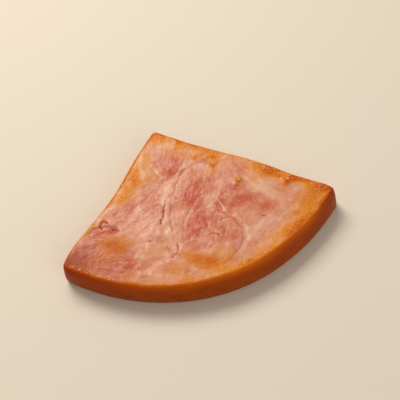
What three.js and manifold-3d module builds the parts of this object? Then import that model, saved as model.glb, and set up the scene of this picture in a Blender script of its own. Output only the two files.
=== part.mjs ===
// Grilled ham steak: one quarter wedge cut from a round slice of cooked, smoked ham.
// It lies flat, grilled side up: the point of the wedge at +Y, the curved rind towards -Y.
// Millimetres, +Z up. The origin is the bottom centre of the wedge's own bounding box.
// While it is built, the point of the wedge is on x = 0 near y = 0, and the last step centres it.

import * as THREE from 'three';
import { ParametricGeometry } from 'three/addons/geometries/ParametricGeometry.js';
import { ImprovedNoise } from 'three/addons/math/ImprovedNoise.js';
import { mergeGeometries, mergeVertices } from 'three/addons/utils/BufferGeometryUtils.js';
import Module from 'manifold-3d';

// ---- driving dimensions -------------------------------------------------

const THICKNESS = 13;               // a half-inch slice
const LEFT_CUT = 89.3;              // length of the left cut edge, from point to rind
const RIGHT_CUT = 93.6;             // length of the right cut edge
const POINT = new THREE.Vector2(0, 1.8);        // where the two cuts meet
const HALF_ANGLE = THREE.MathUtils.degToRad(47);    // of the wedge at that point
const RIND_RADIUS = 82.8;           // of the curved rind
const RIND_CENTRE = new THREE.Vector2(0, -7.9);
const CORNER_FLARE = 0.32;          // share of the rind over which it swings out to a corner
const CORNER_TRIM = 2.6;            // how far from each corner its rounding starts

const CUT_RIM = 1.5;                // rounding of the top edge along the two cuts
const RIND_RIM = 1.5;               // rounding of the top edge along the rind
const FOOT_RIM = 1.1;               // rounding of the bottom edge
const RIND_LEAN = 2.2;              // how far the foot of the rind stands out at the right corner
const LEFT_LEAN = -0.8;             // the same at the left corner, where it tucks in
const RIND_BULGE = 0.7;             // swell of the rind at half height
const CUT_RIPPLE = 0.35;            // unevenness of the two cut sides

const DOME = 0.5;                   // crown of the grilled face
const FACE_RIPPLE = 0.22;           // its general unevenness
const FACE_LUMPS = [11, 5];         // sizes of that unevenness, the second half as high
const SIDE_LUMP = 9;                // size of the unevenness of the cut sides
const MIDDLE_SHIFT = 8;             // of the crown, from the corners' mean towards the rind

// How far each cut edge bows inward (mm) at a share of its length from the point.
const LEFT_BOWS = [[0.22, 0.3], [0.53, 1.6], [0.86, -0.9]];
const RIGHT_BOWS = [[0.23, 0.6], [0.54, -1.1], [0.77, -0.3], [0.93, -0.6]];

// Seams between the muscles: depth, half width, and the bends of the line.
const SEAMS = [
  { depth: 0.75, width: 1.5, bends: [[22, -24.5], [12, -24.2], [3, -28.7], [-4, -36.5], [-9.5, -46],
    [-12.8, -58], [-12.9, -68], [-11.3, -77], [-6, -83]] },
  { depth: 0.45, width: 1.3, bends: [[9.5, -44], [4, -45.8], [-3, -53], [-7.5, -60], [-10.5, -67]] },
  { depth: 0.6, width: 1.3, bends: [[11.5, -45], [13.7, -50], [14.4, -56], [15.2, -59.5]] },
  { depth: 0.6, width: 1.4, bends: [[5, -62.3], [11, -61.2], [15.2, -59.5], [18.6, -63], [19, -70],
    [16, -76.5], [9, -81]] },
  { depth: 0.5, width: 1.3, bends: [[-8.5, -20], [-7.5, -25], [-6, -29.5], [0, -28.2], [5.5, -24.5]] },
];

// Soft swells of single muscles and crisp nubs: centre, half sizes, turn in degrees, height.
const SWELLS = [
  { at: [4, -73], half: [12, 9], turn: 10, height: 0.7 },
  { at: [1, -20], half: [7, 7], turn: 30, height: 0.4 },
  { at: [-39, -58], half: [8, 6], turn: 0, height: 0.35 },
  { at: [24, -52], half: [11, 9], turn: 60, height: 0.35 },
  { at: [26.5, -42.5], half: [2.4, 1.6], turn: 40, height: 0.9 },
  { at: [48.5, -49.5], half: [3, 2.2], turn: 60, height: 0.8 },
  { at: [18.5, -28.5], half: [2.6, 1.5], turn: 20, height: 0.6 },
];

// Tears in the grilled face, each opened by an ellipsoid: centre, half sizes, turn in degrees.
const TEARS = [
  { at: [-43.5, -47.2], half: [9.2, 2.4, 1.8], turn: -8 },
  { at: [-40, -43.9], half: [2.3, 0.8, 2.6], turn: 8 },
  { at: [-12.2, -46.2], half: [4.8, 0.6, 2.2], turn: 66 },
  { at: [-15.2, -52.0], half: [1.9, 0.5, 1.8], turn: 55 },
  { at: [-12.8, -67.6], half: [2.0, 0.5, 1.6], turn: 85 },
  { at: [-15.6, -72.2], half: [2.2, 0.45, 1.4], turn: 32 },
];

// ---- mesh fineness --------------------------------------------------------

const STEPS = 27;                   // cells along half of each side of the wedge
const RIM_ROWS = 3;
const SIDE_ROWS = 4;
const FOOT_ROWS = 2;
const TEAR_STEPS = [14, 9];         // round and along each ellipsoid that opens a tear
const SLOPE_STEP = 0.004;           // side numbers over which the outline's direction is taken
const CORNER_SPAN = 0.03;           // side numbers over which a corner turns from cut to rind
const GRID = 1e-3;                  // every vertex sits on this grid, so that shared ones meet
const WELD = 1e-4;

// ---- small helpers --------------------------------------------------------

const noise = new ImprovedNoise();
const mix = THREE.MathUtils.lerp;
const smooth = THREE.MathUtils.smoothstep;
const flat = ([x, y]) => new THREE.Vector2(x, y);
const ORIGIN = new THREE.Vector2();
const snap = (length) => Math.round(length / GRID) * GRID;
const settle = (target, x, y, z) => target.set(snap(x), snap(y), snap(z));

// ---- plan outline -----------------------------------------------------------
// The side number runs 0 to 3 round the wedge: 0 is the point, 1 the left corner,
// 2 the right corner and 3 the point again.

function cornerAt(length, hand) {
  const along = new THREE.Vector2(hand * Math.sin(HALF_ANGLE), -Math.cos(HALF_ANGLE));
  return POINT.clone().addScaledVector(along, length);
}

const LEFT_CORNER = cornerAt(LEFT_CUT, -1);
const RIGHT_CORNER = cornerAt(RIGHT_CUT, 1);

function cutEdge(corner, bows) {
  const along = corner.clone().sub(POINT).normalize();
  const inward = new THREE.Vector2(along.y, -along.x).multiplyScalar(Math.sign(corner.x));
  const bends = bows.map(([share, bow]) => POINT.clone().lerp(corner, share).addScaledVector(inward, bow));
  return new THREE.SplineCurve([POINT, ...bends, corner]);
}

const LEFT_EDGE = cutEdge(LEFT_CORNER, LEFT_BOWS);
const RIGHT_EDGE = cutEdge(RIGHT_CORNER, RIGHT_BOWS);

function rindArc(share) {
  const from = LEFT_CORNER.clone().sub(RIND_CENTRE);
  const to = RIGHT_CORNER.clone().sub(RIND_CENTRE);
  const angle = mix(from.angle(), to.angle(), share);
  const nearLeft = Math.max(1 - share / CORNER_FLARE, 0) ** 2;
  const nearRight = Math.max(1 - (1 - share) / CORNER_FLARE, 0) ** 2;
  const radius = RIND_RADIUS
    + (from.length() - RIND_RADIUS) * nearLeft
    + (to.length() - RIND_RADIUS) * nearRight;
  return new THREE.Vector2(Math.cos(angle), Math.sin(angle)).multiplyScalar(radius).add(RIND_CENTRE);
}

function sharpOutline(side) {
  const turn = ((side % 3) + 3) % 3;
  if (turn < 1) return LEFT_EDGE.getPointAt(turn);
  if (turn < 2) return rindArc(turn - 1);
  return RIGHT_EDGE.getPointAt(3 - turn);
}

// Each corner is trimmed by the parabola that starts CORNER_TRIM away on both of its sides.
function trimCorner(place, corner) {
  const tip = sharpOutline(corner);
  const before = sharpOutline(corner - CORNER_SPAN).sub(tip).normalize();
  const after = sharpOutline(corner + CORNER_SPAN).sub(tip).normalize();
  const away = Math.min(place.distanceTo(tip) / CORNER_TRIM, 1);
  const pull = CORNER_TRIM * ((1 - away) / 2) ** 2;
  return place.add(before.add(after).multiplyScalar(pull));
}

function outline(side) {
  return trimCorner(sharpOutline(side), Math.round(side));
}

function outward(side) {
  const ahead = outline(side + SLOPE_STEP);
  const behind = outline(side - SLOPE_STEP);
  const along = ahead.sub(behind).normalize();
  return new THREE.Vector2(along.y, -along.x);
}

// 1 along the rind, 0 along the cut edges, passing smoothly through the corners.
function rindShare(side) {
  const fromLeft = smooth(side, 1 - CORNER_SPAN, 1 + CORNER_SPAN);
  const toRight = 1 - smooth(side, 2 - CORNER_SPAN, 2 + CORNER_SPAN);
  return fromLeft * toRight;
}

function rimRadius(side) {
  return mix(CUT_RIM, RIND_RIM, rindShare(side));
}

function rimLine(side) {
  return outline(side).addScaledVector(outward(side), -rimRadius(side));
}

// ---- grilled face -------------------------------------------------------------

function seamLine({ depth, width, bends }) {
  const points = new THREE.SplineCurve(bends.map(flat)).getSpacedPoints(60);
  return { depth, width, points };
}

const SEAM_LINES = SEAMS.map(seamLine);

function seamDip(place) {
  let dip = 0;
  for (const { depth, width, points } of SEAM_LINES) {
    const near = Math.min(...points.map((point) => point.distanceTo(place)));
    dip = Math.max(dip, depth * Math.exp(-((near / width) ** 2)));
  }
  return dip;
}

function swellRise(place) {
  let rise = 0;
  for (const { at, half, turn, height } of SWELLS) {
    const local = place.clone().sub(flat(at)).rotateAround(ORIGIN, -THREE.MathUtils.degToRad(turn));
    rise += height * Math.exp(-((local.x / half[0]) ** 2) - ((local.y / half[1]) ** 2));
  }
  return rise;
}

const MIDDLE = LEFT_CORNER.clone().add(RIGHT_CORNER).add(POINT).divideScalar(3)
  .add(new THREE.Vector2(0, -MIDDLE_SHIFT));

function faceHeight(place) {
  const crown = DOME * (1 - (place.distanceTo(MIDDLE) / RIND_RADIUS) ** 2);
  const [large, small] = FACE_LUMPS;
  const ripple = noise.noise(place.x / large, place.y / large, 0.3)
    + 0.5 * noise.noise(place.x / small, place.y / small, 4.1);
  return THICKNESS - DOME + crown + FACE_RIPPLE * ripple + swellRise(place) - seamDip(place);
}

// The face is three four-sided sheets that meet at the middle. Each one runs from a corner
// of the wedge half-way along both of its sides, and is filled in as a Coons patch.
function facePatch(corner) {
  return (u, v, target) => {
    const ahead = rimLine(corner + u / 2);
    const behind = rimLine(corner - v / 2);
    const tip = rimLine(corner);
    const half = rimLine(corner + 0.5);
    const halfBack = rimLine(corner - 0.5);
    const place = ahead.multiplyScalar(1 - v).add(behind.multiplyScalar(1 - u))
      .addScaledVector(halfBack, v * (1 - u)).addScaledVector(MIDDLE, u * v)
      .addScaledVector(half, u * (1 - v)).addScaledVector(MIDDLE, u * v)
      .addScaledVector(tip, -(1 - u) * (1 - v)).addScaledVector(half, -u * (1 - v))
      .addScaledVector(halfBack, -v * (1 - u)).addScaledVector(MIDDLE, -u * v);
    settle(target, place.x, place.y, faceHeight(place));
  };
}

// ---- sides and underside ----------------------------------------------------------

// How far the foot stands out: it changes along the rind and fades into the cut sides.
function leanOf(side) {
  const onRind = mix(LEFT_LEAN, RIND_LEAN, smooth(side, 1.0, 1.85));
  const fromPoint = smooth(side, 0.7, 1.0);
  const toPoint = 1 - smooth(side, 1.95, 2.35);
  return onRind * fromPoint * toPoint;
}

// How far the side stands out from the outline at a share of the way down.
function standOut(side, down) {
  const cutShare = 1 - rindShare(side);
  const spot = outline(side);
  const ripple = noise.noise(spot.x / SIDE_LUMP, spot.y / SIDE_LUMP, down * 2);
  return leanOf(side) * down
    + Math.sin(Math.PI * down) * (RIND_BULGE * rindShare(side) + CUT_RIPPLE * cutShare * ripple);
}

function sidePoint(u, v, target) {
  const side = 3 * (1 - u);
  const row = v * (RIM_ROWS + SIDE_ROWS + FOOT_ROWS);
  const out = outward(side);
  const rim = rimRadius(side);
  const top = faceHeight(rimLine(side));
  const shoulder = top - rim;
  let stand = 0;
  let height = 0;
  if (row <= RIM_ROWS) {
    const bend = (row / RIM_ROWS) * Math.PI / 2;
    stand = -rim * (1 - Math.sin(bend));
    height = shoulder + rim * Math.cos(bend);
  } else if (row <= RIM_ROWS + SIDE_ROWS) {
    const down = (row - RIM_ROWS) / SIDE_ROWS;
    stand = standOut(side, down);
    height = mix(shoulder, FOOT_RIM, down);
  } else {
    const bend = ((row - RIM_ROWS - SIDE_ROWS) / FOOT_ROWS) * Math.PI / 2;
    stand = standOut(side, 1) - FOOT_RIM * (1 - Math.cos(bend));
    height = FOOT_RIM * (1 - Math.sin(bend));
  }
  const place = outline(side).addScaledVector(out, stand);
  settle(target, place.x, place.y, height);
}

function underside(u, v, target) {
  sidePoint(u, 1, target);
  settle(target, mix(target.x, MIDDLE.x, v), mix(target.y, MIDDLE.y, v), 0);
}

// ---- one closed solid -----------------------------------------------------------

function bare(geometry) {
  geometry.deleteAttribute('normal');
  geometry.deleteAttribute('uv');
  return geometry;
}

function withoutEmptyFaces(geometry) {
  const index = geometry.getIndex().array;
  const kept = [];
  for (let i = 0; i < index.length; i += 3) {
    const [a, b, c] = index.slice(i, i + 3);
    if (a !== b && b !== c && c !== a) kept.push(a, b, c);
  }
  geometry.setIndex(kept);
  return geometry;
}

function wedgeGeometry() {
  const sheets = [0, 1, 2].map((corner) => new ParametricGeometry(facePatch(corner), STEPS, STEPS));
  const rows = RIM_ROWS + SIDE_ROWS + FOOT_ROWS;
  sheets.push(new ParametricGeometry(sidePoint, 6 * STEPS, rows));
  sheets.push(new ParametricGeometry(underside, 6 * STEPS, 1));
  return withoutEmptyFaces(mergeVertices(mergeGeometries(sheets.map(bare)), WELD));
}

function tearGeometry({ at, half, turn }) {
  const tear = new THREE.SphereGeometry(1, ...TEAR_STEPS);
  tear.rotateX(Math.PI / 2);
  tear.scale(...half);
  tear.rotateZ(THREE.MathUtils.degToRad(turn));
  tear.translate(at[0], at[1], faceHeight(flat(at)));
  return withoutEmptyFaces(mergeVertices(bare(tear), WELD));
}

const wasm = await Module();
wasm.setup();

function solidOf(geometry) {
  const vertProperties = new Float32Array(geometry.getAttribute('position').array);
  const triVerts = new Uint32Array(geometry.getIndex().array);
  return new wasm.Manifold(new wasm.Mesh({ numProp: 3, vertProperties, triVerts }));
}

function geometryOf(solid) {
  const { vertProperties, triVerts } = solid.getMesh();
  const geometry = new THREE.BufferGeometry();
  geometry.setAttribute('position', new THREE.BufferAttribute(vertProperties, 3));
  geometry.setIndex(new THREE.BufferAttribute(triVerts, 1));
  return geometry;
}

function steakGeometry() {
  let solid = solidOf(wedgeGeometry());
  for (const tear of TEARS) solid = solid.subtract(solidOf(tearGeometry(tear)));
  const geometry = geometryOf(solid);
  geometry.computeBoundingBox();
  const middle = geometry.boundingBox.getCenter(new THREE.Vector3());
  geometry.translate(-middle.x, -middle.y, 0);
  geometry.computeVertexNormals();
  return geometry;
}

const grilledHam = new THREE.MeshStandardMaterial({ color: 0xd08a66, roughness: 0.42, metalness: 0 });

const steak = new THREE.Group();
const wedge = new THREE.Mesh(steakGeometry(), grilledHam);
wedge.name = 'ham_steak';
steak.add(wedge);

export default steak;
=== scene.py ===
import math

import bmesh
import bpy
import numpy as np
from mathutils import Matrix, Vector


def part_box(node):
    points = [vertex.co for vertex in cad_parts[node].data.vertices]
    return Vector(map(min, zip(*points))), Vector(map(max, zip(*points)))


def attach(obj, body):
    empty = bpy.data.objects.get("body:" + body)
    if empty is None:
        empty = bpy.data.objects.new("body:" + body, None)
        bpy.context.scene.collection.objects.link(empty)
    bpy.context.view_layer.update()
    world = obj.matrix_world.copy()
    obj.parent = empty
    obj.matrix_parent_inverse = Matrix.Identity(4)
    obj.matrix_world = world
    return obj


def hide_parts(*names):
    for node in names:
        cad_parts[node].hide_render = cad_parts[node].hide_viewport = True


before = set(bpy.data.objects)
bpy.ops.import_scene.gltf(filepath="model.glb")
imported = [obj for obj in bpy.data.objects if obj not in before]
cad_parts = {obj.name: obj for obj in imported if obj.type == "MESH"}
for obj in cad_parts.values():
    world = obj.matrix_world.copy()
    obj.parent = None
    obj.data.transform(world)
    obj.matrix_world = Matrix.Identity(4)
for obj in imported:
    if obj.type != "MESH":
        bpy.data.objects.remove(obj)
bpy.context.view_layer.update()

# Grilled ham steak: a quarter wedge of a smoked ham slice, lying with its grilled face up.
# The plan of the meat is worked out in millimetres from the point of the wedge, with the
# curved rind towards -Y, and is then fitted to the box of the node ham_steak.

MM = 0.001

# ---- sizes of the cut of meat, in millimetres ----------------------------------

THICKNESS = 13.0
LEFT_CUT = 89.3
RIGHT_CUT = 93.6
POINT = np.array([0.0, 1.8])
HALF_ANGLE = math.radians(47)
RIND_RADIUS = 82.8
RIND_CENTRE = np.array([0.0, -7.9])
CORNER_FLARE = 0.32
CORNER_TRIM = 2.6
CUT_RIM = 1.5
RIND_RIM = 1.5
FOOT_RIM = 1.1
RIND_LEAN = 2.2
LEFT_LEAN = -0.8
RIND_BULGE = 0.7
DOME = 0.5

# How far each cut edge bows inward at a share of its length from the point.
LEFT_BOWS = [(0.22, 0.3), (0.53, 1.6), (0.86, -0.9)]
RIGHT_BOWS = [(0.23, 0.6), (0.54, -1.1), (0.77, -0.3), (0.93, -0.6)]

FACE_CELLS = 140            # cells of the grilled face along half of each side
FOOT_CELLS = FACE_CELLS // 2        # the same for the underside
FOOT_STRIP = 0.012          # share of the way in over which the underside's cells double in size
RIM_ROWS = 6
SIDE_ROWS = 10
FOOT_ROWS = 4
EDGE_POINTS = 401           # on each edge of the plan
BAND_STEP = 8               # of those, every eighth one is used to work out the browning
RIM_STEP = 5                # and every fifth one for the amber rim of the rind
EDGE_REACH = 16             # how far in from an edge its browning is worked out
WELD = 1e-4                 # vertices closer than this are made one

# ---- what lies in the grilled face ------------------------------------------------
# Seams between muscles: depth and width of the groove, strength of the pale membrane in it
# and its width, darkness of the crease, then the bends of the line.

SEAMS = [
    dict(depth=0.18, width=1.4, pale=0.60, band=1.5, crease=0.10, bends=[
        (25, -26.5), (20, -23.3), (12, -22.6), (6, -24.5), (1.5, -27.5), (-3, -30.8), (-7, -34.5),
        (-10, -39), (-12.2, -43), (-14.5, -50), (-15.8, -58), (-15.5, -66), (-14, -73), (-12.5, -79)]),
    dict(depth=0.28, width=0.9, pale=0.35, band=1.0, crease=0.70, bends=[
        (17, -26), (12, -25.6), (7, -27), (3, -29), (-0.5, -33), (-4, -38), (-7.5, -44), (-10, -50),
        (-11.5, -56), (-12.6, -62), (-13, -68)]),
    dict(depth=0.28, width=0.8, pale=0.45, band=0.7, crease=0.75, bends=[
        (9.5, -43.8), (5, -45), (1.5, -48.3), (-2, -52), (-5.5, -56), (-7.5, -60.5), (-9.5, -66)]),
    dict(depth=0.20, width=0.7, pale=1.15, band=0.45, crease=0.10, bends=[
        (11.3, -45.3), (13.2, -48.8), (14.0, -53), (14.3, -57), (15, -59.3)]),
    dict(depth=0.45, width=0.6, pale=0.0, band=1.0, crease=0.75, bends=[
        (11.5, -54.6), (13, -56.5), (14.8, -58.8)]),
    dict(depth=0.30, width=0.9, pale=0.95, band=0.9, crease=0.0, bends=[
        (15, -59.3), (17, -60.3), (18.2, -62), (19.2, -65), (19.6, -69), (18.6, -73), (16, -77.3),
        (12, -80.5)]),
    dict(depth=0.30, width=0.7, pale=0.0, band=1.0, crease=1.0, bends=[
        (4.5, -62.3), (8.5, -61.3), (13, -60.4), (16, -60.9), (17.4, -64), (18, -69), (16.6, -74),
        (13, -78.3), (8, -82), (2, -84.3), (-5, -83.7), (-9.5, -80.5), (-11.3, -75), (-11.2, -69.5)]),
    dict(depth=0.35, width=0.9, pale=1.25, band=0.6, crease=0.0, bends=[
        (-8.8, -20), (-8.4, -23), (-7.4, -26), (-6.2, -28.5)]),
    dict(depth=0.35, width=0.7, pale=0.25, band=0.9, crease=0.35, bends=[
        (-6.2, -29.6), (-3, -30), (0.5, -27.8), (3, -25.6), (5.5, -24), (8, -20)]),
    dict(depth=0.25, width=0.6, pale=0.0, band=0.8, crease=0.45, bends=[
        (-20.5, -45.3), (-17, -43.6), (-13, -42.2), (-10.5, -40)]),
    dict(depth=0.20, width=0.6, pale=0.75, band=0.6, crease=0.0, bends=[
        (11.8, -36.5), (13, -33.8), (15.5, -31), (18, -28)]),
    dict(depth=0.15, width=0.5, pale=0.7, band=0.5, crease=0.0, bends=[(13.5, -39.8), (14.8, -38.6)]),
    dict(depth=0.15, width=0.9, pale=0.45, band=1.2, crease=0.05, bends=[
        (30.3, -41), (31, -45), (32.8, -49.5), (35.5, -53.5), (37.5, -58)]),
    dict(depth=0.20, width=0.9, pale=0.40, band=1.1, crease=0.0, bends=[
        (-35, -50), (-31, -51.5), (-28, -54.5), (-26, -58)]),
    dict(depth=0.20, width=0.9, pale=0.40, band=0.9, crease=0.05, bends=[
        (22, -80), (32, -75.5), (42, -68.5), (50, -61)]),
    dict(depth=0.20, width=0.9, pale=0.35, band=0.9, crease=0.05, bends=[
        (26, -74), (34, -70.5), (41, -66)]),
    dict(depth=0.20, width=0.5, pale=0.30, band=0.7, crease=0.55, bends=[
        (-48.5, -47.9), (-45.5, -49.9), (-41.5, -50.7), (-38, -50.2), (-35.8, -49.3)]),
    dict(depth=0.08, width=0.5, pale=0.0, band=0.6, crease=0.20, bends=[
        (-49, -46), (-46.5, -45.2), (-43, -45.6)]),
    dict(depth=0.25, width=0.5, pale=0.0, band=0.6, crease=0.45, bends=[
        (-42.6, -46.3), (-42.2, -47.6), (-42.6, -49)]),
    dict(depth=0.20, width=0.5, pale=0.0, band=0.6, crease=0.95, bends=[
        (2.7, -28.7), (4, -27.9), (6.3, -26.8)]),
    dict(depth=0.20, width=0.5, pale=0.0, band=0.6, crease=0.95, bends=[
        (15, -24.2), (17, -25), (19.5, -25.3)]),
    dict(depth=0.30, width=0.5, pale=0.2, band=0.8, crease=0.7, bends=[
        (-12.6, -64), (-12.8, -68.5), (-13.6, -70.6), (-15.5, -72), (-17.5, -73.2)]),
    dict(depth=0.25, width=0.5, pale=0.0, band=0.8, crease=1.15, bends=[
        (4, -66.3), (6, -67.5), (7.5, -69.3)]),
    dict(depth=0.10, width=0.5, pale=0.7, band=0.5, crease=0.0, bends=[(6.3, -65.6), (7.8, -68)]),
    dict(depth=0.25, width=0.4, pale=0.0, band=0.8, crease=1.15, bends=[(29.3, -64.9), (31.5, -65.9)]),
    dict(depth=0.25, width=0.4, pale=0.0, band=0.8, crease=0.95, bends=[
        (-34.3, -77.2), (-32, -78.6), (-30.8, -79)]),
    dict(depth=0.20, width=0.4, pale=0.0, band=0.8, crease=0.5, bends=[(-28.5, -76), (-26.5, -77.3)]),
    dict(depth=0.20, width=0.4, pale=0.0, band=0.8, crease=0.95, bends=[(-33, -67.6), (-31.2, -68.9)]),
    dict(depth=0.25, width=0.4, pale=0.0, band=0.8, crease=1.15, bends=[(-24.3, -59.5), (-22.5, -61.5)]),
]

# Tears through to the dark inside: depth, half width, bends. Then the torn pocket by the left cut.
TEARS = [
    dict(depth=0.8, width=0.32, bends=[(-9.2, -41.6), (-10.5, -43.6), (-11.6, -45)]),
    dict(depth=1.5, width=0.72, bends=[(-11.5, -44.6), (-12.3, -47.2), (-13.9, -50.3)]),
    dict(depth=1.2, width=0.60, bends=[(-14.5, -50.6), (-14.9, -52.3), (-16.2, -53.3)]),
    dict(depth=0.9, width=0.35, bends=[(-12.8, -66.4), (-12.8, -68.6)]),
    dict(depth=0.6, width=0.25, bends=[(-15.4, -71.8), (-17.3, -73)]),
    dict(depth=1.6, width=0.90, bends=[
        (-42.3, -46.2), (-41.8, -44.2), (-40.3, -42.9), (-38.8, -43.2), (-38.3, -44.2)]),
    dict(depth=1.2, width=0.60, bends=[(-37.6, -47.9), (-36.4, -48.5), (-35.0, -49.1)]),
]
POCKET = dict(at=(-42.4, -47.6), half=(7.6, 3.0), turn=-9, depth=0.8)

# Patches of the face: centre, half sizes, turn in degrees, strength. First the redder lean, some of it
# also painted shade at the left corner, then the golden browning.
LEAN_AND_SHADE_PATCHES = [
    ((27.5, -52), (4.5, 3.5), 10, 0.65), ((16, -52), (3, 6), 10, 0.60), ((22, -54), (8, 5), 0, 0.45),
    ((31, -58), (6, 4), 0, 0.35), ((25, -47), (7, 4), 0, 0.35), ((1, -57), (7, 5), 20, 0.65),
    # The strong patches about the left corner, (-58.5, -57.5) to (-44, -60), are redder lean and also
    # painted shade.
    ((-5, -61), (3, 5), -10, 0.45), ((-58.5, -57.5), (5, 3.4), 0, 1.0),
    ((-51, -56.5), (9, 5.5), 10, 0.70), ((-44, -60), (9, 6), 8, 0.70), ((-38, -72), (9, 5), -20, 0.45),
    ((-50, -61), (14, 8), -20, 0.45), ((-39, -69), (4, 6), 0, 0.40), ((-1, -27), (5, 3), 20, 0.35),
    ((1, -19), (6, 8), 0, 0.45), ((-20, -38.5), (9, 3), 8, 0.35), ((6, -38), (8, 7), 30, 0.34),
    ((12, -35), (6, 4), 10, 0.40), ((0, -45), (6, 5), 40, 0.35), ((12, -75), (5, 4), 0, 0.25),
    ((4, -68), (11, 6), 0, 0.35), ((-23, -61), (3, 3), 0, 0.25), ((-42.5, -47.2), (6.5, 2.6), -8, 0.42),
    ((35, -62), (6, 4), 30, 0.15), ((-32.5, -41), (1.4, 1.0), 0, 0.7),
]
SEAR_PATCHES = [
    ((-39.5, -58), (8.0, 6.4), 8, 0.74), ((-34.5, -56), (3.5, 5), 0, 0.18),
    ((0.3, -1.5), (4.5, 4), 0, 1.0), ((-20, -22), (13, 7), 47, 0.46), ((-13, -14), (9, 5), 47, 0.36),
    ((-27, -30.5), (8, 3.6), 45, 0.30), ((4, -7), (7, 3), -42, 0.45), ((-3, -77.5), (5, 4.5), -30, 0.65),
    ((4.5, -77), (6, 4), 0, 0.55), ((-8.5, -73), (3, 5.5), 10, 0.60), ((3, -82), (8, 3), 0, 0.35),
    ((-9, -37.5), (1.2, 1.2), 0, 0.75), ((10, -28.5), (1.5, 1.1), 0, 0.70),
    ((12, -22), (3, 1.6), 0, 0.50), ((19.5, -28.3), (1.8, 1.3), 0, 0.70),
    ((22, -24.5), (3.5, 2.2), -20, 0.70), ((20, -31), (5, 4), 20, 0.30),
    ((26.8, -42.6), (2.4, 2.0), 45, 0.85), ((42, -41), (6, 3.5), -40, 0.85),
    ((48.5, -50), (3.4, 3.2), 60, 1.0), ((47, -46.5), (4, 2.4), -42, 0.6),
    ((54, -51.5), (4, 2.5), -45, 0.7), ((-12, -24), (6, 6), 20, 0.30), ((27, -34.5), (5, 3.5), -45, 0.12),
    ((18, -32), (4, 3), 0, 0.25), ((-21, -25), (8, 5.5), 40, 0.26), ((-26, -34), (5, 2.0), 10, 0.40),
    ((-15, -79), (7, 5), 10, 0.35), ((-22, -66), (4, 4), 0, 0.20), ((-56, -62), (10, 6), -20, 0.35),
    ((48, -43), (9, 5), -45, 0.35), ((34, -78), (16, 4), 25, 0.40), ((43, -60.5), (3, 2), 30, 0.45),
    ((62, -61), (3.5, 3.5), 0, 0.60), ((15, -86.5), (3, 1.6), 10, 0.55),
    ((49, -65.5), (9, 4.5), 35, 0.50), ((-37, -74), (5, 3), -20, 0.30), ((60, -60), (7, 5), 40, 0.45),
    ((6, -17), (4, 9), 45, 0.30), ((37, -43), (6, 4), -45, 0.40), ((25, -84), (8, 2), 15, 0.5),
]
# Painted shade that darkens the left corner, and smoke stains over the browning.
PAINTED_SHADE_PATCHES = [
    ((-61, -60), (9, 6), -15, 0.85), ((-53, -53), (9, 4), 40, 0.40), ((-47, -68), (12, 4), -35, 0.30),
]
SMOKE_PATCHES = [
    ((-39.5, -57.5), (7, 5.5), 8, 0.45), ((-3, -78), (6, 3.5), -10, 0.25),
    ((49, -50.5), (3, 2.6), 60, 0.45), ((41.5, -41), (5, 2.4), -42, 0.35), ((61, -60), (5, 4), 30, 0.30),
]
# Crisp nubs of crust, and pale fatty patches with painted highlights beside the nubs among them.
NUBS = [
    ((26.6, -42.6), (1.9, 1.5), 40, 1.0), ((48.5, -50), (3.2, 2.8), 60, 1.0),
    ((18.5, -28.4), (1.7, 1.2), 20, 0.95), ((41.5, -41.5), (5.5, 2.6), -42, 0.85),
    ((14.6, -86), (2.6, 1.4), 10, 0.9),
]
PALE_AND_GLINT_PATCHES = [
    ((36, -50), (5, 8), 20, 0.55), ((28, -70), (8, 5), 20, 0.45), ((-14, -60), (2.5, 10), 0, 0.45),
    ((-8, -45), (2.5, 7), -35, 0.30), ((-26, -47), (7, 3), 10, 0.35), ((3, -64.5), (7, 2), 0, 0.20),
    ((-14, -14), (3, 9), -45, 0.55), ((-40, -38), (4, 3), 40, 0.25), ((-47, -66), (6, 3), -20, 0.20),
    ((0, -8), (3, 4), 0, 0.35), ((-14, -33), (4, 5), 20, 0.15), ((10, -26.5), (6, 1.6), 0, 0.25),
    # The small patches at (17, -28.6), (24.2, -43.2) and (45.8, -48.5), beside nubs, are painted
    # highlights.
    ((17, -28.6), (1.4, 2.2), -60, 0.6), ((24.2, -43.2), (0.9, 1.6), -45, 0.4),
    ((45.8, -48.5), (1.0, 2.0), 30, 0.7), ((-40.2, -46.0), (2.0, 1.4), 0, 0.45),
]
# Swells of the face, nubs of crust included: centre, half sizes, turn, height.
SWELLS = [
    ((4, -73), (12, 9), 10, 0.60), ((1, -20), (7, 7), 30, 0.35), ((-39, -58), (8, 6), 0, 0.35),
    ((24, -52), (11, 9), 60, 0.35), ((26.6, -42.6), (2.3, 1.4), 40, 0.80),
    ((48.5, -50), (2.4, 2.0), 60, 0.80), ((18.3, -28.4), (2.4, 1.1), 20, 0.45),
    ((42, -41.5), (4, 2.5), -40, 0.30), ((-45.4, -47.6), (2.2, 1.5), -10, 0.60),
    ((-40, -47.4), (2.4, 1.6), -20, 0.70), ((-40, -44.9), (1.1, 0.9), 0, 0.55),
    ((14.6, -86), (1.6, 1.0), 20, 0.45), ((-7, -38), (2.5, 7), -35, 0.25), ((62, -60), (3, 2), 0, 0.3),
]

# Lines that the muscle fibres run along.
FIBRE_GUIDES = [
    [(-60, -64), (-45, -74), (-28, -84), (0, -88), (25, -84), (45, -75), (60, -64)],
    [(-60, -56), (-45, -54), (-30, -49), (-18, -43), (-8, -36)],
    [(-38, -38), (-25, -35), (-12, -31)],
    [(-15, -62), (-13, -50), (-8, -40), (0, -31), (10, -25), (22, -25)],
    [(-9, -64), (-5, -55), (2, -47), (10, -40), (18, -29)],
    [(-12, -24), (-10, -18), (-4, -8)],
    [(-3, -27), (0, -18), (3, -10)],
    [(12, -22), (14, -14)],
    [(28, -42), (34, -52), (38, -60)],
    [(18, -62), (19, -70), (14, -78)],
    [(20, -80), (36, -70), (54, -60)],
    [(38, -40), (46, -50), (58, -58)],
    [(-30, -62), (-22, -72), (-14, -80)],
    [(16, -56), (22, -50), (28, -46)],
]

# ---- seeded smooth noise ------------------------------------------------------------


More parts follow.
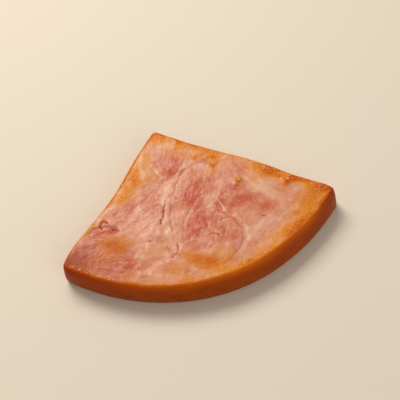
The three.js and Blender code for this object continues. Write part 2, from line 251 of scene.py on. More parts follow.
class LatticeNoise:
    """Smooth noise from about -1 to 1, on a seeded lattice that repeats."""

    CELLS = 256

    def __init__(self, seed):
        self.knots = np.random.default_rng(seed).uniform(-1, 1, (self.CELLS, self.CELLS))

    def at(self, x, y):
        left, low = np.floor(x), np.floor(y)
        u, v = x - left, y - low
        u = u * u * u * (u * (u * 6 - 15) + 10)
        v = v * v * v * (v * (v * 6 - 15) + 10)
        i, j = left.astype(int) % self.CELLS, low.astype(int) % self.CELLS
        i1, j1 = (i + 1) % self.CELLS, (j + 1) % self.CELLS
        near = self.knots[i, j] * (1 - u) + self.knots[i1, j] * u
        far = self.knots[i, j1] * (1 - u) + self.knots[i1, j1] * u
        return near * (1 - v) + far * v

    def layered(self, x, y, size, layers=3):
        """Sum of noise whose largest lumps are this size, each layer half as large and strong."""
        total = np.zeros(np.shape(x))
        for layer in range(layers):
            scale = 2.0 ** layer / size
            turn = 0.6 * (layer + 1)
            along = (x * math.cos(turn) + y * math.sin(turn)) * scale
            across = (y * math.cos(turn) - x * math.sin(turn)) * scale
            total += self.at(along + 17.3 * layer, across + 5.7 * layer) / 2 ** layer
        return total


LUMPS = LatticeNoise(11)
WANDER = LatticeNoise(23)
SPECKS = LatticeNoise(37)
PATCH_CORE, PATCH_REACH = 0.10, 1.75        # where a patch starts and ends fading, in half sizes
FAR = 1e3                   # stands for any distance past a line's reach


def smooth_step(value, low, high):
    share = np.clip((value - low) / (high - low), 0, 1)
    return share * share * (3 - 2 * share)


def turned(x, y, centre, degrees):
    """Coordinates about a centre, along axes turned by an angle."""
    c, s = math.cos(math.radians(degrees)), math.sin(math.radians(degrees))
    dx, dy = x - centre[0], y - centre[1]
    return dx * c + dy * s, dy * c - dx * s


def patch_amount(x, y, centre, half, turn):
    """Soft-edged oval, 1 at its middle."""
    u, v = turned(x, y, centre, turn)
    away = np.sqrt((u / half[0]) ** 2 + (v / half[1]) ** 2)
    return 1 - smooth_step(away, PATCH_CORE, PATCH_REACH)


# ---- lines ------------------------------------------------------------------------------


def smooth_line(bends, count=60):
    """Evenly spaced points on the Catmull-Rom line through the bends."""
    knots = np.array([bends[0], *bends, bends[-1]], float)
    pieces = []
    for a, b, c, d in zip(knots, knots[1:], knots[2:], knots[3:]):
        t = np.linspace(0, 1, 40, endpoint=False)[:, None]
        pieces.append(0.5 * (2 * b + (c - a) * t + (2 * a - 5 * b + 4 * c - d) * t ** 2
                             + (3 * b - a - 3 * c + d) * t ** 3))
    dense = np.vstack([*pieces, knots[-1:]])
    length = np.concatenate([[0], np.cumsum(np.linalg.norm(np.diff(dense, axis=0), axis=1))])
    even = np.linspace(0, length[-1], count)
    return np.stack([np.interp(even, length, dense[:, 0]), np.interp(even, length, dense[:, 1])], 1)


def line_reach(x, y, bends, margin):
    """Distance to the line, share of the line's length there, and the side it is on.
    Spots further than the margin from the line's box keep a large distance."""
    line = smooth_line(bends)
    distance, share, hand = np.full(x.shape, FAR), np.zeros(x.shape), np.zeros(x.shape)
    low, high = line.min(0) - margin, line.max(0) + margin
    near = (x > low[0]) & (x < high[0]) & (y > low[1]) & (y < high[1])
    px, py = x[near], y[near]
    best, where, side = np.full(px.shape, FAR), np.zeros(px.shape), np.zeros(px.shape)
    for step, (start, end) in enumerate(zip(line, line[1:])):
        run = end - start
        dx, dy = px - start[0], py - start[1]
        t = np.clip((dx * run[0] + dy * run[1]) / (run @ run), 0, 1)
        away = np.hypot(dx - t * run[0], dy - t * run[1])
        closer = away < best
        best = np.where(closer, away, best)
        where = np.where(closer, (step + t) / (len(line) - 1), where)
        side = np.where(closer, np.sign(run[0] * dy - run[1] * dx), side)
    distance[near], share[near], hand[near] = best, where, side
    return distance, share, hand


# ---- plan outline -------------------------------------------------------------------------
# The side number runs 0 to 3: the point, the left corner, the right corner, the point again.


def corner_at(length, hand):
    return POINT + np.array([hand * math.sin(HALF_ANGLE), -math.cos(HALF_ANGLE)]) * length


LEFT_CORNER = corner_at(LEFT_CUT, -1)
RIGHT_CORNER = corner_at(RIGHT_CUT, 1)
MIDDLE = (LEFT_CORNER + RIGHT_CORNER + POINT) / 3 + np.array([0, -8])


def cut_edge(corner, bows):
    along = (corner - POINT) / np.linalg.norm(corner - POINT)
    inward = np.array([along[1], -along[0]]) * np.sign(corner[0])
    bends = [POINT + (corner - POINT) * share + inward * bow for share, bow in bows]
    return smooth_line([POINT, *bends, corner], EDGE_POINTS)


LEFT_EDGE = cut_edge(LEFT_CORNER, LEFT_BOWS)
RIGHT_EDGE = cut_edge(RIGHT_CORNER, RIGHT_BOWS)


# Browning bands: share of the way along the edge, width, strength. The left cut runs from the
# point to the rind, the rind from left to right, and the right cut from the rind to the point.
LEFT_BAND = [(0, 5.5, 0.90), (0.08, 5.0, 0.70), (0.14, 4.0, 0.28), (0.34, 6.0, 0.26), (0.44, 6.5, 0.34),
             (0.54, 4.0, 0.42), (0.64, 3.2, 0.45), (0.74, 2.6, 0.40), (0.84, 2.0, 0.15), (0.94, 2.0, 0.15),
             (1, 2.0, 0.25)]
RIGHT_BAND = [(0, 8.5, 0.98), (0.06, 7.5, 0.98), (0.16, 4.8, 1.00), (0.26, 5.5, 0.95), (0.36, 6.0, 0.92),
              (0.46, 4.2, 0.62), (0.56, 4.2, 0.62), (0.66, 6.5, 0.90), (0.76, 6.0, 0.82), (0.86, 5.5, 0.82),
              (0.96, 5.0, 1.05), (1, 5.0, 1.05)]
RIND_BAND = [(0, 2.0, 0.45), (0.14, 2.8, 0.65), (0.24, 4.0, 0.66), (0.34, 5.5, 0.72), (0.44, 6.5, 0.82),
             (0.54, 6.5, 0.72), (0.64, 5.5, 0.82), (0.74, 5.5, 0.97), (0.84, 6.5, 1.05), (0.94, 7.5, 1.02),
             (1, 9.0, 1.00)]
# Painted shade along the rind, darkest towards both corners, in the same form.
CORNER_SHADE_BAND = [(0, 8.0, 0.85), (0.08, 6.0, 0.78), (0.14, 4.5, 0.68), (0.24, 4.5, 0.46), (0.34, 5.0, 0.34),
              (0.44, 5.0, 0.32), (0.54, 3.0, 0.12), (0.64, 3.0, 0.12), (0.74, 3.0, 0.28), (0.84, 3.0, 0.14),
              (0.92, 4.0, 0.62), (1, 6.0, 1.00)]


def along_edge(edge, share):
    spots = np.clip(share, 0, 1) * (len(edge) - 1)
    steps = np.arange(len(edge))
    return np.stack([np.interp(spots, steps, edge[:, 0]), np.interp(spots, steps, edge[:, 1])], -1)


def rind_arc(share):
    start, end = LEFT_CORNER - RIND_CENTRE, RIGHT_CORNER - RIND_CENTRE
    start_angle, end_angle = math.atan2(start[1], start[0]), math.atan2(end[1], end[0])
    angle = start_angle + (end_angle - start_angle) * share
    near_left = np.maximum(1 - share / CORNER_FLARE, 0) ** 2
    near_right = np.maximum(1 - (1 - share) / CORNER_FLARE, 0) ** 2
    radius = (RIND_RADIUS + (np.linalg.norm(start) - RIND_RADIUS) * near_left
              + (np.linalg.norm(end) - RIND_RADIUS) * near_right)
    return RIND_CENTRE + radius[..., None] * np.stack([np.cos(angle), np.sin(angle)], -1)


RIND_EDGE = rind_arc(np.linspace(0, 1, EDGE_POINTS))
RIGHT_EDGE_BACK = RIGHT_EDGE[::-1]


def sharp_outline(side):
    turn = np.mod(side, 3)
    left, rind, right = along_edge(LEFT_EDGE, turn), rind_arc(turn - 1), along_edge(RIGHT_EDGE, 3 - turn)
    return np.where((turn < 1)[..., None], left, np.where((turn < 2)[..., None], rind, right))


def outline(side):
    place = sharp_outline(side)
    corner = np.round(side)
    tip = sharp_outline(corner)
    before, after = sharp_outline(corner - 0.03) - tip, sharp_outline(corner + 0.03) - tip
    before /= np.linalg.norm(before, axis=-1, keepdims=True)
    after /= np.linalg.norm(after, axis=-1, keepdims=True)
    away = np.minimum(np.linalg.norm(place - tip, axis=-1) / CORNER_TRIM, 1)
    pull = CORNER_TRIM * ((1 - away) / 2) ** 2
    return place + (before + after) * pull[..., None]


def outward(side):
    along = outline(side + 0.004) - outline(side - 0.004)
    along /= np.linalg.norm(along, axis=-1, keepdims=True)
    return np.stack([along[..., 1], -along[..., 0]], -1)


def rind_share(side):
    return smooth_step(side, 0.97, 1.03) * (1 - smooth_step(side, 1.97, 2.03))


def lean_of(side):
    on_rind = LEFT_LEAN + (RIND_LEAN - LEFT_LEAN) * smooth_step(side, 1.0, 1.85)
    return on_rind * smooth_step(side, 0.7, 1.0) * (1 - smooth_step(side, 1.95, 2.35))


# ---- muscle fibres ------------------------------------------------------------------------


def fibre_angle(x, y):
    """Angle of the fibres, blended from the guide lines near each spot."""
    even, odd = np.zeros(x.shape), np.zeros(x.shape)
    for guide in FIBRE_GUIDES:
        line = smooth_line(guide, 14)
        for (px, py), (dx, dy) in zip((line[1:] + line[:-1]) / 2, np.diff(line, axis=0)):
            pull = 1 / (((x - px) ** 2 + (y - py) ** 2) + 3.0) ** 1.5
            double = 2 * math.atan2(dy, dx)
            even += pull * math.cos(double)
            odd += pull * math.sin(double)
    return 0.5 * np.arctan2(odd, even) + 0.25 * WANDER.layered(x, y, 9, 2)


def fibre_marks(x, y):
    """Cosine and sine of twice the fibres' angle, the same whichever way along them it is taken."""
    double = 2 * fibre_angle(x, y)
    return dict(fibre_cos=np.cos(double), fibre_sin=np.sin(double))


class FibreGrain:
    """Noise drawn out along the fibres, on a fine grid over the whole slice."""

    STEP = 0.25
    LOW = np.array([-76.0, -102.0])
    HIGH = np.array([78.0, 8.0])

    def __init__(self, seed, reach, size=None):
        counts = ((self.HIGH - self.LOW) / self.STEP).astype(int)
        grid_x = self.LOW[0] + self.STEP * np.arange(counts[0])
        grid_y = self.LOW[1] + self.STEP * np.arange(counts[1])
        x, y = np.meshgrid(grid_x, grid_y, indexing="ij")
        angle = fibre_angle(x, y)
        if size:
            raw = LatticeNoise(seed).layered(x, y, size, 2)
        else:
            raw = np.random.default_rng(seed).normal(0, 1, x.shape)
        total = raw.copy()
        steps = int(reach / self.STEP)
        for way in (1, -1):
            walk_x, walk_y = x.copy(), y.copy()
            heading = angle + (0 if way > 0 else math.pi)
            for step in range(1, steps + 1):
                walk_x = walk_x + self.STEP * np.cos(heading)
                walk_y = walk_y + self.STEP * np.sin(heading)
                i, j = self.cell(walk_x, walk_y)
                heading = angle[i, j] + math.pi * np.round((heading - angle[i, j]) / math.pi)
                share = 0.5 + 0.5 * math.cos(math.pi * step / (steps + 1))
                total = total + share * raw[i, j]
        self.values = total / total.std()

    def cell(self, x, y):
        most = ((self.HIGH - self.LOW) / self.STEP).astype(int) - 1
        i = np.clip(((x - self.LOW[0]) / self.STEP).round().astype(int), 0, most[0])
        j = np.clip(((y - self.LOW[1]) / self.STEP).round().astype(int), 0, most[1])
        return i, j

    def at(self, x, y):
        fx = np.clip((x - self.LOW[0]) / self.STEP, 0, self.values.shape[0] - 1.001)
        fy = np.clip((y - self.LOW[1]) / self.STEP, 0, self.values.shape[1] - 1.001)
        i, j = fx.astype(int), fy.astype(int)
        u, v = fx - i, fy - j
        near = self.values[i, j] * (1 - u) + self.values[i + 1, j] * u
        far = self.values[i, j + 1] * (1 - u) + self.values[i + 1, j + 1] * u
        return near * (1 - v) + far * v


FINE_GRAIN = FibreGrain(5, 1.5)
LONG_GRAIN = FibreGrain(6, 4.0)
MARBLING = FibreGrain(9, 7.0, size=2.8)
DABS = FibreGrain(12, 2.2, size=1.4)

# ---- the grilled face ----------------------------------------------------------------------

GROOVE_DEPTH = 0.32         # what a seam's and a tear's stated depth is multiplied by
TEAR_DEPTH = 0.28
CREASE_HALF = 0.48
MEMBRANE_SHIFT = 0.5
MEMBRANE_PALE = 0.85
BASE_LEAN = 0.30            # how red the plain flesh is
PATCH_WARP = 1.9            # how far the patches' outlines wander
SEAM_WARP = 0.35            # and the seams'
TORN_WARP = 0.45            # and, more finely, the tears'


def seam_marks(x, y):
    """Groove depth, pale membrane and dark crease of all the seams. The membrane lies to one side."""
    groove, pale, crease = np.zeros(x.shape), np.zeros(x.shape), np.zeros(x.shape)
    for number, seam in enumerate(SEAMS):
        away, share, hand = line_reach(x, y, seam["bends"], 6)
        ends = np.sqrt(np.clip(np.sin(np.pi * np.clip(share, 0, 1)), 0, 1))
        uneven = 0.75 + 0.45 * WANDER.at(share * 14 + 9.1 * number, np.full(x.shape, 3.3))
        hollow = np.exp(-(away / seam["width"]) ** 2)
        groove = np.maximum(groove, GROOVE_DEPTH * seam["depth"] * ends * hollow)
        beside = np.exp(-((away - MEMBRANE_SHIFT * hand) / seam["band"]) ** 2)
        membrane = MEMBRANE_PALE * seam["pale"] * uneven * ends * beside
        pale = np.maximum(pale, membrane)
        crease = np.maximum(crease, seam["crease"] * uneven * ends * np.exp(-(away / CREASE_HALF) ** 2))
    return groove, pale, crease


def tear_marks(x, y):
    """Depth of the tears, and how dark they are inside."""
    depth, inside = np.zeros(x.shape), np.zeros(x.shape)
    for tear in TEARS:
        away, share, _ = line_reach(x, y, tear["bends"], 4)
        half = tear["width"] * np.sqrt(np.clip(np.sin(np.pi * np.clip(share, 0.02, 0.98)), 0, 1))
        open_share = 1 - smooth_step(away, 0.45 * half, 1.25 * half + 0.15)
        depth = np.maximum(depth, TEAR_DEPTH * tear["depth"] * open_share)
        inside = np.maximum(inside, open_share)
    return depth, inside


def patches(x, y, patch_list):
    """All the patches of a list, laid over each other."""
    total = np.zeros(x.shape)
    for centre, half, turn, strength in patch_list:
        total = 1 - (1 - total) * (1 - strength * patch_amount(x, y, centre, half, turn))
    return total


def swells(x, y):
    total = np.zeros(x.shape)
    for centre, half, turn, height in SWELLS:
        u, v = turned(x, y, centre, turn)
        total += height * np.exp(-(u / half[0]) ** 2 - (v / half[1]) ** 2)
    return total


def pocket_share(x, y):
    u, v = turned(x, y, POCKET["at"], POCKET["turn"])
    return 1 - smooth_step(np.hypot(u / POCKET["half"][0], v / POCKET["half"][1]), 0.70, 1.15)


def edge_inset(x, y, edge, step=BAND_STEP):
    """Distance inside an edge of the outline, below 0 outside it, and the share of the edge there.
    Spots that the edge does not reach count as far inside."""
    away, share, hand = line_reach(x, y, edge[::step], EDGE_REACH)
    return np.where(hand == 0, away, away * hand), share


def insets(x, y):
    """Distance inside the left cut, the rind and the right cut."""
    return [edge_inset(x, y, edge)[0] for edge in (LEFT_EDGE, RIND_EDGE, RIGHT_EDGE_BACK)]


def band(inset, share, profile):
    """Browning along an edge: strong near it, faint further in, and strongest on the rim.
    The profile gives, at shares of the edge, its width and strength."""
    places, widths, strengths = np.array(profile).T
    width = np.interp(share, places, widths)
    near = 1 - smooth_step(inset, 0.1 * width, width)
    wide = 1 - smooth_step(inset, 0.4 * width, 2.6 * width)
    toasted = np.interp(share, places, strengths) * (0.66 * near + 0.34 * wide)
    return toasted + 0.25 * toasted * (1 - smooth_step(inset, 0.2, 1.8))


def edge_marks(x, y, ragged, sear):
    """Browning with the edges' added to it, crispness, painted shade beside the rind towards its corners,
    and the inset and share of the left cut."""
    crisp = np.full(x.shape, 0.15)
    reach = [edge_inset(x, y, edge) for edge in (LEFT_EDGE, RIND_EDGE, RIGHT_EDGE_BACK)]
    for (inset, share), profile in zip(reach, (LEFT_BAND, RIND_BAND, RIGHT_BAND)):
        sear = 1 - (1 - sear) * (1 - band(inset + ragged, share, profile))
        crisp = np.maximum(crisp, 1 - smooth_step(inset + ragged, 4.0, 11.0))
    left, (rind_inset, rind_along), _ = reach
    return sear, crisp, band(rind_inset + ragged, rind_along, CORNER_SHADE_BAND), left


def left_rim(inset, share, ragged, pocket):
    """The left cut's edge: a strip of cream, and a thin browned rim that stops at the pocket."""
    cream = 0.40 * (1 - smooth_step(inset + ragged, 1.5, 4.5)) * (1 - smooth_step(share, 0.50, 0.62))
    cream = cream * smooth_step(share, 0.03, 0.10) * smooth_step(inset, 0.8, 2.2)
    rim = 0.40 * (1 - pocket) * (1 - smooth_step(inset, 0.6, 2.0)) * (1 - smooth_step(share, 0.75, 0.9))
    return cream, rim


def face_marks(x, y):
    """Everything that the grilled face shows at a spot: its relief and its paint masks."""
    drift_x, drift_y = WANDER.layered(x, y, 8, 3), WANDER.layered(x + 50, y - 30, 8, 3)
    wx, wy = x + PATCH_WARP * drift_x, y + PATCH_WARP * drift_y
    sx = x + SEAM_WARP * WANDER.layered(x, y, 3, 2)
    sy = y + SEAM_WARP * WANDER.layered(x - 40, y + 20, 3, 2)
    jag_x = TORN_WARP * SPECKS.layered(x, y, 1.6, 2)
    jag_y = TORN_WARP * SPECKS.layered(x + 30, y - 20, 1.6, 2)
    ragged = 0.9 * drift_x + 0.5 * SPECKS.layered(x, y, 3.0, 2)
    fine, long, marbling, dabs = (grain.at(x, y) for grain in (FINE_GRAIN, LONG_GRAIN, MARBLING, DABS))
    blotch = LUMPS.layered(x, y, 6, 3)

    groove, membrane, crease = seam_marks(sx, sy)
    tear_depth, tear = tear_marks(sx + jag_x, sy + jag_y)
    lean, sear, pale, stained = (
        patches(wx, wy, group) for group in (LEAN_AND_SHADE_PATCHES, SEAR_PATCHES, PALE_AND_GLINT_PATCHES, SMOKE_PATCHES))
    nub, painted_shade, pocket = patches(sx, sy, NUBS), patches(x, y, PAINTED_SHADE_PATCHES), pocket_share(sx, sy)
    sear, crisp, smoke_and_shade, left = edge_marks(x, y, ragged, sear)
    cream, rim = left_rim(*left, ragged, pocket)

    crisp = np.maximum(crisp, nub)
    sear = sear * (1 - 0.34 * smooth_step(marbling + 0.25 * long, 0.0, 1.6))
    sear = np.maximum(sear, 1.12 * nub)
    # Painted shade of the left corner: less browning and fat there, redder lean, and more of the darkening
    # stain.
    sear = np.clip((sear + rim) * (1 - cream) * (1 + 0.16 * blotch), 0, 1.2) * (1 - 0.15 * painted_shade)
    # The darkening stain holds smoke stains and the painted shade of the corners.
    smoke_and_shade = np.clip(1 - (1 - smoke_and_shade) * (1 - 0.85 * painted_shade) * (1 - stained), 0, 1)
    flecks = 0.45 * smooth_step(long + 0.35 * fine, 1.5, 3.2)
    threads = 0.32 * smooth_step(marbling, 0.3, 2.2)
    dabbed = 0.26 * smooth_step(dabs, 0.7, 2.2)
    # The fat mark also carries the painted highlights beside the nubs.
    fat = 1 - (1 - membrane) * (1 - pale) * (1 - cream) * (1 - flecks) * (1 - threads) * (1 - dabbed)
    fat = fat * (1 - 0.8 * painted_shade)
    lean = 1 - (1 - lean) * (1 - 0.75 * painted_shade)
    lean = BASE_LEAN + lean * (1 - BASE_LEAN) + 0.13 * blotch - 0.05 * marbling - 0.025 * dabs
    crease = np.clip(crease + 0.12 * smooth_step(-marbling, 1.3, 2.5), 0, 1)

    away = np.hypot(x - MIDDLE[0], y - MIDDLE[1]) / RIND_RADIUS
    lumps = 0.20 * LUMPS.layered(x, y, 12, 2) + 0.07 * LUMPS.layered(x, y, 3.2, 2)
    grains = 0.008 * fine + 0.010 * long + 0.015 * marbling + 0.012 * dabs
    blisters = 0.08 * sear * crisp * SPECKS.layered(x, y, 0.9, 2)
    hollows = groove + tear_depth + POCKET["depth"] * pocket
    relief = lumps + grains + blisters + swells(sx, sy) - DOME * away ** 2 - hollows
    return dict(relief=relief, lean=np.clip(lean, 0, 1), fat=fat, sear=sear, crisp=crisp, tear=tear,
                crease=crease, smoke_and_shade=smoke_and_shade, **fibre_marks(x, y))


# ---- mesh of the whole wedge ---------------------------------------------------------------

FACE, CUT, RIND, UNDER = range(4)           # the wedge's materials, in the order of ham_materials
# Bake map: the face fills the top, the underside lies below it at the left, and the side's three
# strips lie one above another at the right. An area of the plan has its low corner in the map and
# the millimetres that the whole map would hold at its scale.
PLAN_CORNER = np.array([-70.0, -92.0])
FACE_AREA = dict(low=np.array([0.005, 0.345]), across=np.array([143.0, 145.0]))
UNDER_AREA = dict(low=np.array([0.01, 0.02]), across=np.array([322.0, 322.0]))
STRIP_LOW = (0.47, 0.02)
STRIP_WIDTH = 0.52
STRIP_TALL = 0.09
STRIP_PITCH = 0.105


def map_place(plan, area):
    """Bake coordinates of spots of the plan, in one area of the map."""
    return area["low"] + (plan - PLAN_CORNER) / area["across"]


def closed(grid):
    """The grid with its first column again at its end."""
    return np.concatenate([grid, grid[:, :1]], 1)


class Skin:
    """Vertices with their plan, height and marks, and the faces between them."""

    MARKS = ("lean", "fat", "sear", "crisp", "tear", "crease", "smoke_and_shade", "drop", "rind",
             "fibre_cos", "fibre_sin")

    def __init__(self):
        self.places, self.marks, self.bakes, self.faces, self.kinds = [], [], [], [], []
        self.count = 0

    def add_sheet(self, places, marks, bake, kind, flip=False):
        """A grid of vertices (rows, columns, 3) with its marks and bake coordinates."""
        rows, columns = places.shape[:2]
        cell = np.arange(rows * columns).reshape(rows, columns)
        quads = np.stack([cell[:-1, :-1], cell[1:, :-1], cell[1:, 1:], cell[:-1, 1:]], -1).reshape(-1, 4)
        marks = {name: np.broadcast_to(marks[name], (rows, columns)).ravel() for name in self.MARKS}
        quads = quads[:, ::-1] if flip else quads
        self.add_patch(places.reshape(-1, 3), marks, bake.reshape(-1, 2), quads, kind)

    def add_patch(self, places, marks, bake, faces, kind):
        """Loose vertices with their marks and bake coordinates, and the faces between them."""
        self.places.append(places)
        self.marks.append(np.stack([marks[name] for name in self.MARKS], -1))
        self.bakes.append(bake)
        self.faces.extend((faces + self.count).tolist())
        self.kinds.extend([kind] * len(faces))
        self.count += len(places)


def coons_grid(ring, corner, cells):
    """Plan of a four-sided sheet from a corner of the wedge to its middle."""
    size = len(ring)
    start = 2 * cells * corner
    steps = np.arange(cells + 1)
    ahead, behind = ring[(start + steps) % size], ring[(start - steps) % size]
    tip, half, half_back = ring[start % size], ring[(start + cells) % size], ring[(start - cells) % size]
    u, v = (steps / cells)[:, None, None], (steps / cells)[None, :, None]
    return (ahead[:, None] * (1 - v) + (half_back * (1 - u) + MIDDLE * u) * v
            + behind[None] * (1 - u) + (half * (1 - v) + MIDDLE * v) * u
            - tip * (1 - u) * (1 - v) - half * u * (1 - v) - half_back * v * (1 - u) - MIDDLE * u * v)


def rind_cover(x, y):
    """1 on the amber rim outside the meat, 0 inside it."""
    inset, _ = edge_inset(x, y, RIND_EDGE, RIM_STEP)
    return 1 - smooth_step(inset + 0.22 * WANDER.layered(x, y, 2.5, 2), 1.2, 2.2)


class Wedge:
    """The wedge in millimetres: its face, its side all round, and its underside."""

    def __init__(self):
        self.sides = 3 * np.arange(6 * FACE_CELLS) / (6 * FACE_CELLS)
        self.rim = CUT_RIM + (RIND_RIM - CUT_RIM) * rind_share(self.sides)
        self.out = outward(self.sides)
        self.edge = outline(self.sides)
        self.rim_line = self.edge - self.out * self.rim[:, None]
        steps = np.linalg.norm(np.diff(self.edge, axis=0), axis=1)
        self.run = np.concatenate([[0], np.cumsum(steps)])
        self.skin = Skin()
        self.add_face()
        self.add_sides()
        self.add_underside()

    def add_face(self):
        for corner in range(3):
            plan = coons_grid(self.rim_line, corner, FACE_CELLS)
            x, y = plan[..., 0], plan[..., 1]
            marks = face_marks(x, y)
            marks["drop"] = np.zeros(x.shape)
            marks["rind"] = rind_cover(x, y)
            height = THICKNESS + marks["relief"]
            self.skin.add_sheet(np.dstack([x, y, height]), marks, map_place(plan, FACE_AREA), FACE)

    def profile(self, row, top):
        """How far a row of the side stands out and how high it is, and its length down the side."""
        shoulder = top - self.rim
        if row <= RIM_ROWS:
            bend = row / RIM_ROWS * math.pi / 2
            stand = -self.rim * (1 - math.sin(bend))
            return stand, shoulder + self.rim * math.cos(bend), self.rim * bend
        arc = self.rim * math.pi / 2
        if row <= RIM_ROWS + SIDE_ROWS:
            down = (row - RIM_ROWS) / SIDE_ROWS
            fall = (shoulder - FOOT_RIM) * down
            return self.stand_out(down), shoulder - fall, arc + fall
        bend = (row - RIM_ROWS - SIDE_ROWS) / FOOT_ROWS * math.pi / 2
        stand = self.stand_out(1.0) - FOOT_RIM * (1 - math.cos(bend))
        height = FOOT_RIM * (1 - math.sin(bend)) + 0 * top
        return stand, height, arc + shoulder - FOOT_RIM + FOOT_RIM * bend

    def stand_out(self, down):
        """How far the wall stands out at a share of the way down it: torn meat, or wrinkled rind."""
        rind = rind_share(self.sides)
        tall = THICKNESS * down + 0 * self.run
        torn = (0.30 * LUMPS.layered(self.run, tall, 9.0, 3)
                + 0.14 * LUMPS.layered(self.run + 70, 0.5 * tall, 2.4, 2))
        wrinkle = (0.20 * LUMPS.layered(self.run, 0.6 * tall, 8.0, 3)
                   + 0.05 * WANDER.layered(self.run, tall, 2.2, 2))
        fade = math.sin(math.pi * min(max(down, 0.0), 1.0)) ** 0.7
        return lean_of(self.sides) * down + fade * ((RIND_BULGE + wrinkle) * rind + torn * (1 - rind))

    def add_sides(self):
        rows = RIM_ROWS + SIDE_ROWS + FOOT_ROWS
        top = THICKNESS + face_marks(self.rim_line[:, 0], self.rim_line[:, 1])["relief"]
        whole = [self.profile(row, top) for row in range(rows + 1)]
        stand, height, length = (np.array(rows_of) for rows_of in zip(*whole))
        plan = self.edge[None] + self.out[None] * stand[..., None]
        spread = self.rim_line[None] + self.out[None] * length[..., None]
        marks = face_marks(spread[..., 0], spread[..., 1])
        drop = np.clip((top[None] - height) / top[None], 0, 1)
        marks["drop"] = drop
        wrap = smooth_step(self.sides, 0.975, 0.99) * (1 - smooth_step(self.sides, 2.01, 2.025))
        marks["rind"] = wrap * rind_cover(spread[..., 0], spread[..., 1]) ** (1 - wrap)
        fade = smooth_step(drop, 0.08, 0.38)
        for name, values in self.cut_marks(drop).items():
            marks[name] = marks[name] * (1 - fade) + fade * values
        places = closed(np.dstack([plan[..., 0], plan[..., 1], height]))
        marks = {name: closed(values) for name, values in marks.items()}
        self.add_strips(places, marks, closed(length))

    def cut_marks(self, drop):
        """Lean, fat, crust and creases down the cut sides."""
        tall = THICKNESS * drop
        run = self.run + 0 * drop
        bent = run + 2.5 * WANDER.layered(run, tall, 8, 2)
        toasted = np.clip(0.16 + 0.36 * LUMPS.layered(bent + 20, 0.8 * tall, 14, 3), 0.04, 0.5)
        ragged = 0.14 * WANDER.layered(run, tall, 5, 3)
        foot = smooth_step(drop + ragged, 0.62, 0.98)
        head = 1 - smooth_step(drop + ragged, 0.10, 0.42)
        lean = 0.40 + 0.55 * LUMPS.layered(bent + 140, 0.7 * tall, 9, 3)
        seam = np.exp(-(LUMPS.layered(bent + 90, 0.25 * tall, 15, 2) / 0.05) ** 2)
        layer = smooth_step(LUMPS.layered(bent * 0.5 - 60, 1.6 * tall, 5, 3), 0.15, 1.1)
        gap = np.exp(-(LUMPS.layered(bent + 210, 0.3 * tall, 19, 2) / 0.025) ** 2)
        return dict(sear=toasted + 0.62 * foot + 0.30 * head, lean=np.clip(lean, 0, 1),
                    fat=np.clip(0.75 * seam + 0.45 * layer, 0, 1), crisp=0.35 + 0.5 * foot + 0.4 * head,
                    crease=0.7 * gap, tear=0 * drop, smoke_and_shade=0.16 + 0.3 * toasted + 0.2 * foot)

    def add_strips(self, places, marks, length):
        """The side goes on as three strips, so that each fits its own row of the bake map."""
        cells = 2 * FACE_CELLS
        for strip in range(3):
            part = slice(strip * cells, (strip + 1) * cells + 1)
            across = STRIP_LOW[0] + STRIP_WIDTH * np.linspace(0, 1, cells + 1)[None] + 0 * length[:, part]
            height = STRIP_TALL * (1 - length[:, part] / length.max())
            upward = STRIP_LOW[1] + STRIP_PITCH * strip + height
            kind = RIND if strip == 1 else CUT
            here = {name: values[:, part] for name, values in marks.items()}
            self.skin.add_sheet(places[:, part], here, np.dstack([across, upward]), kind)

    def add_underside(self):
        rows = RIM_ROWS + SIDE_ROWS + FOOT_ROWS
        stand = self.profile(rows, np.full(self.sides.shape, THICKNESS))[0]
        ring = self.edge + self.out * stand[:, None]
        inner = ring[::2] + (MIDDLE - ring[::2]) * FOOT_STRIP
        self.add_foot_strip(ring, inner)
        for corner in range(3):
            plan = coons_grid(inner, corner, FOOT_CELLS)
            x, y = plan[..., 0], plan[..., 1]
            places = np.dstack([x, y, 0 * x])
            self.skin.add_sheet(places, self.underside_marks(x, y), map_place(plan, UNDER_AREA), UNDER,
                                flip=True)

    def add_foot_strip(self, ring, inner):
        """A strip of triangles from the fine foot to the underside, which has half as many steps."""
        outer_count, inner_count = len(ring), len(inner)
        plan = np.concatenate([ring, inner])
        x, y = plan.T
        step = np.arange(inner_count)
        first, middle, last = 2 * step, 2 * step + 1, (2 * step + 2) % outer_count
        near, far = outer_count + step, outer_count + (step + 1) % inner_count
        faces = np.concatenate([np.stack(corners, -1) for corners in (
            (middle, first, near), (middle, near, far), (last, middle, far))])
        self.skin.add_patch(np.column_stack([plan, 0 * x]), self.underside_marks(x, y),
                            map_place(plan, UNDER_AREA), faces, UNDER)

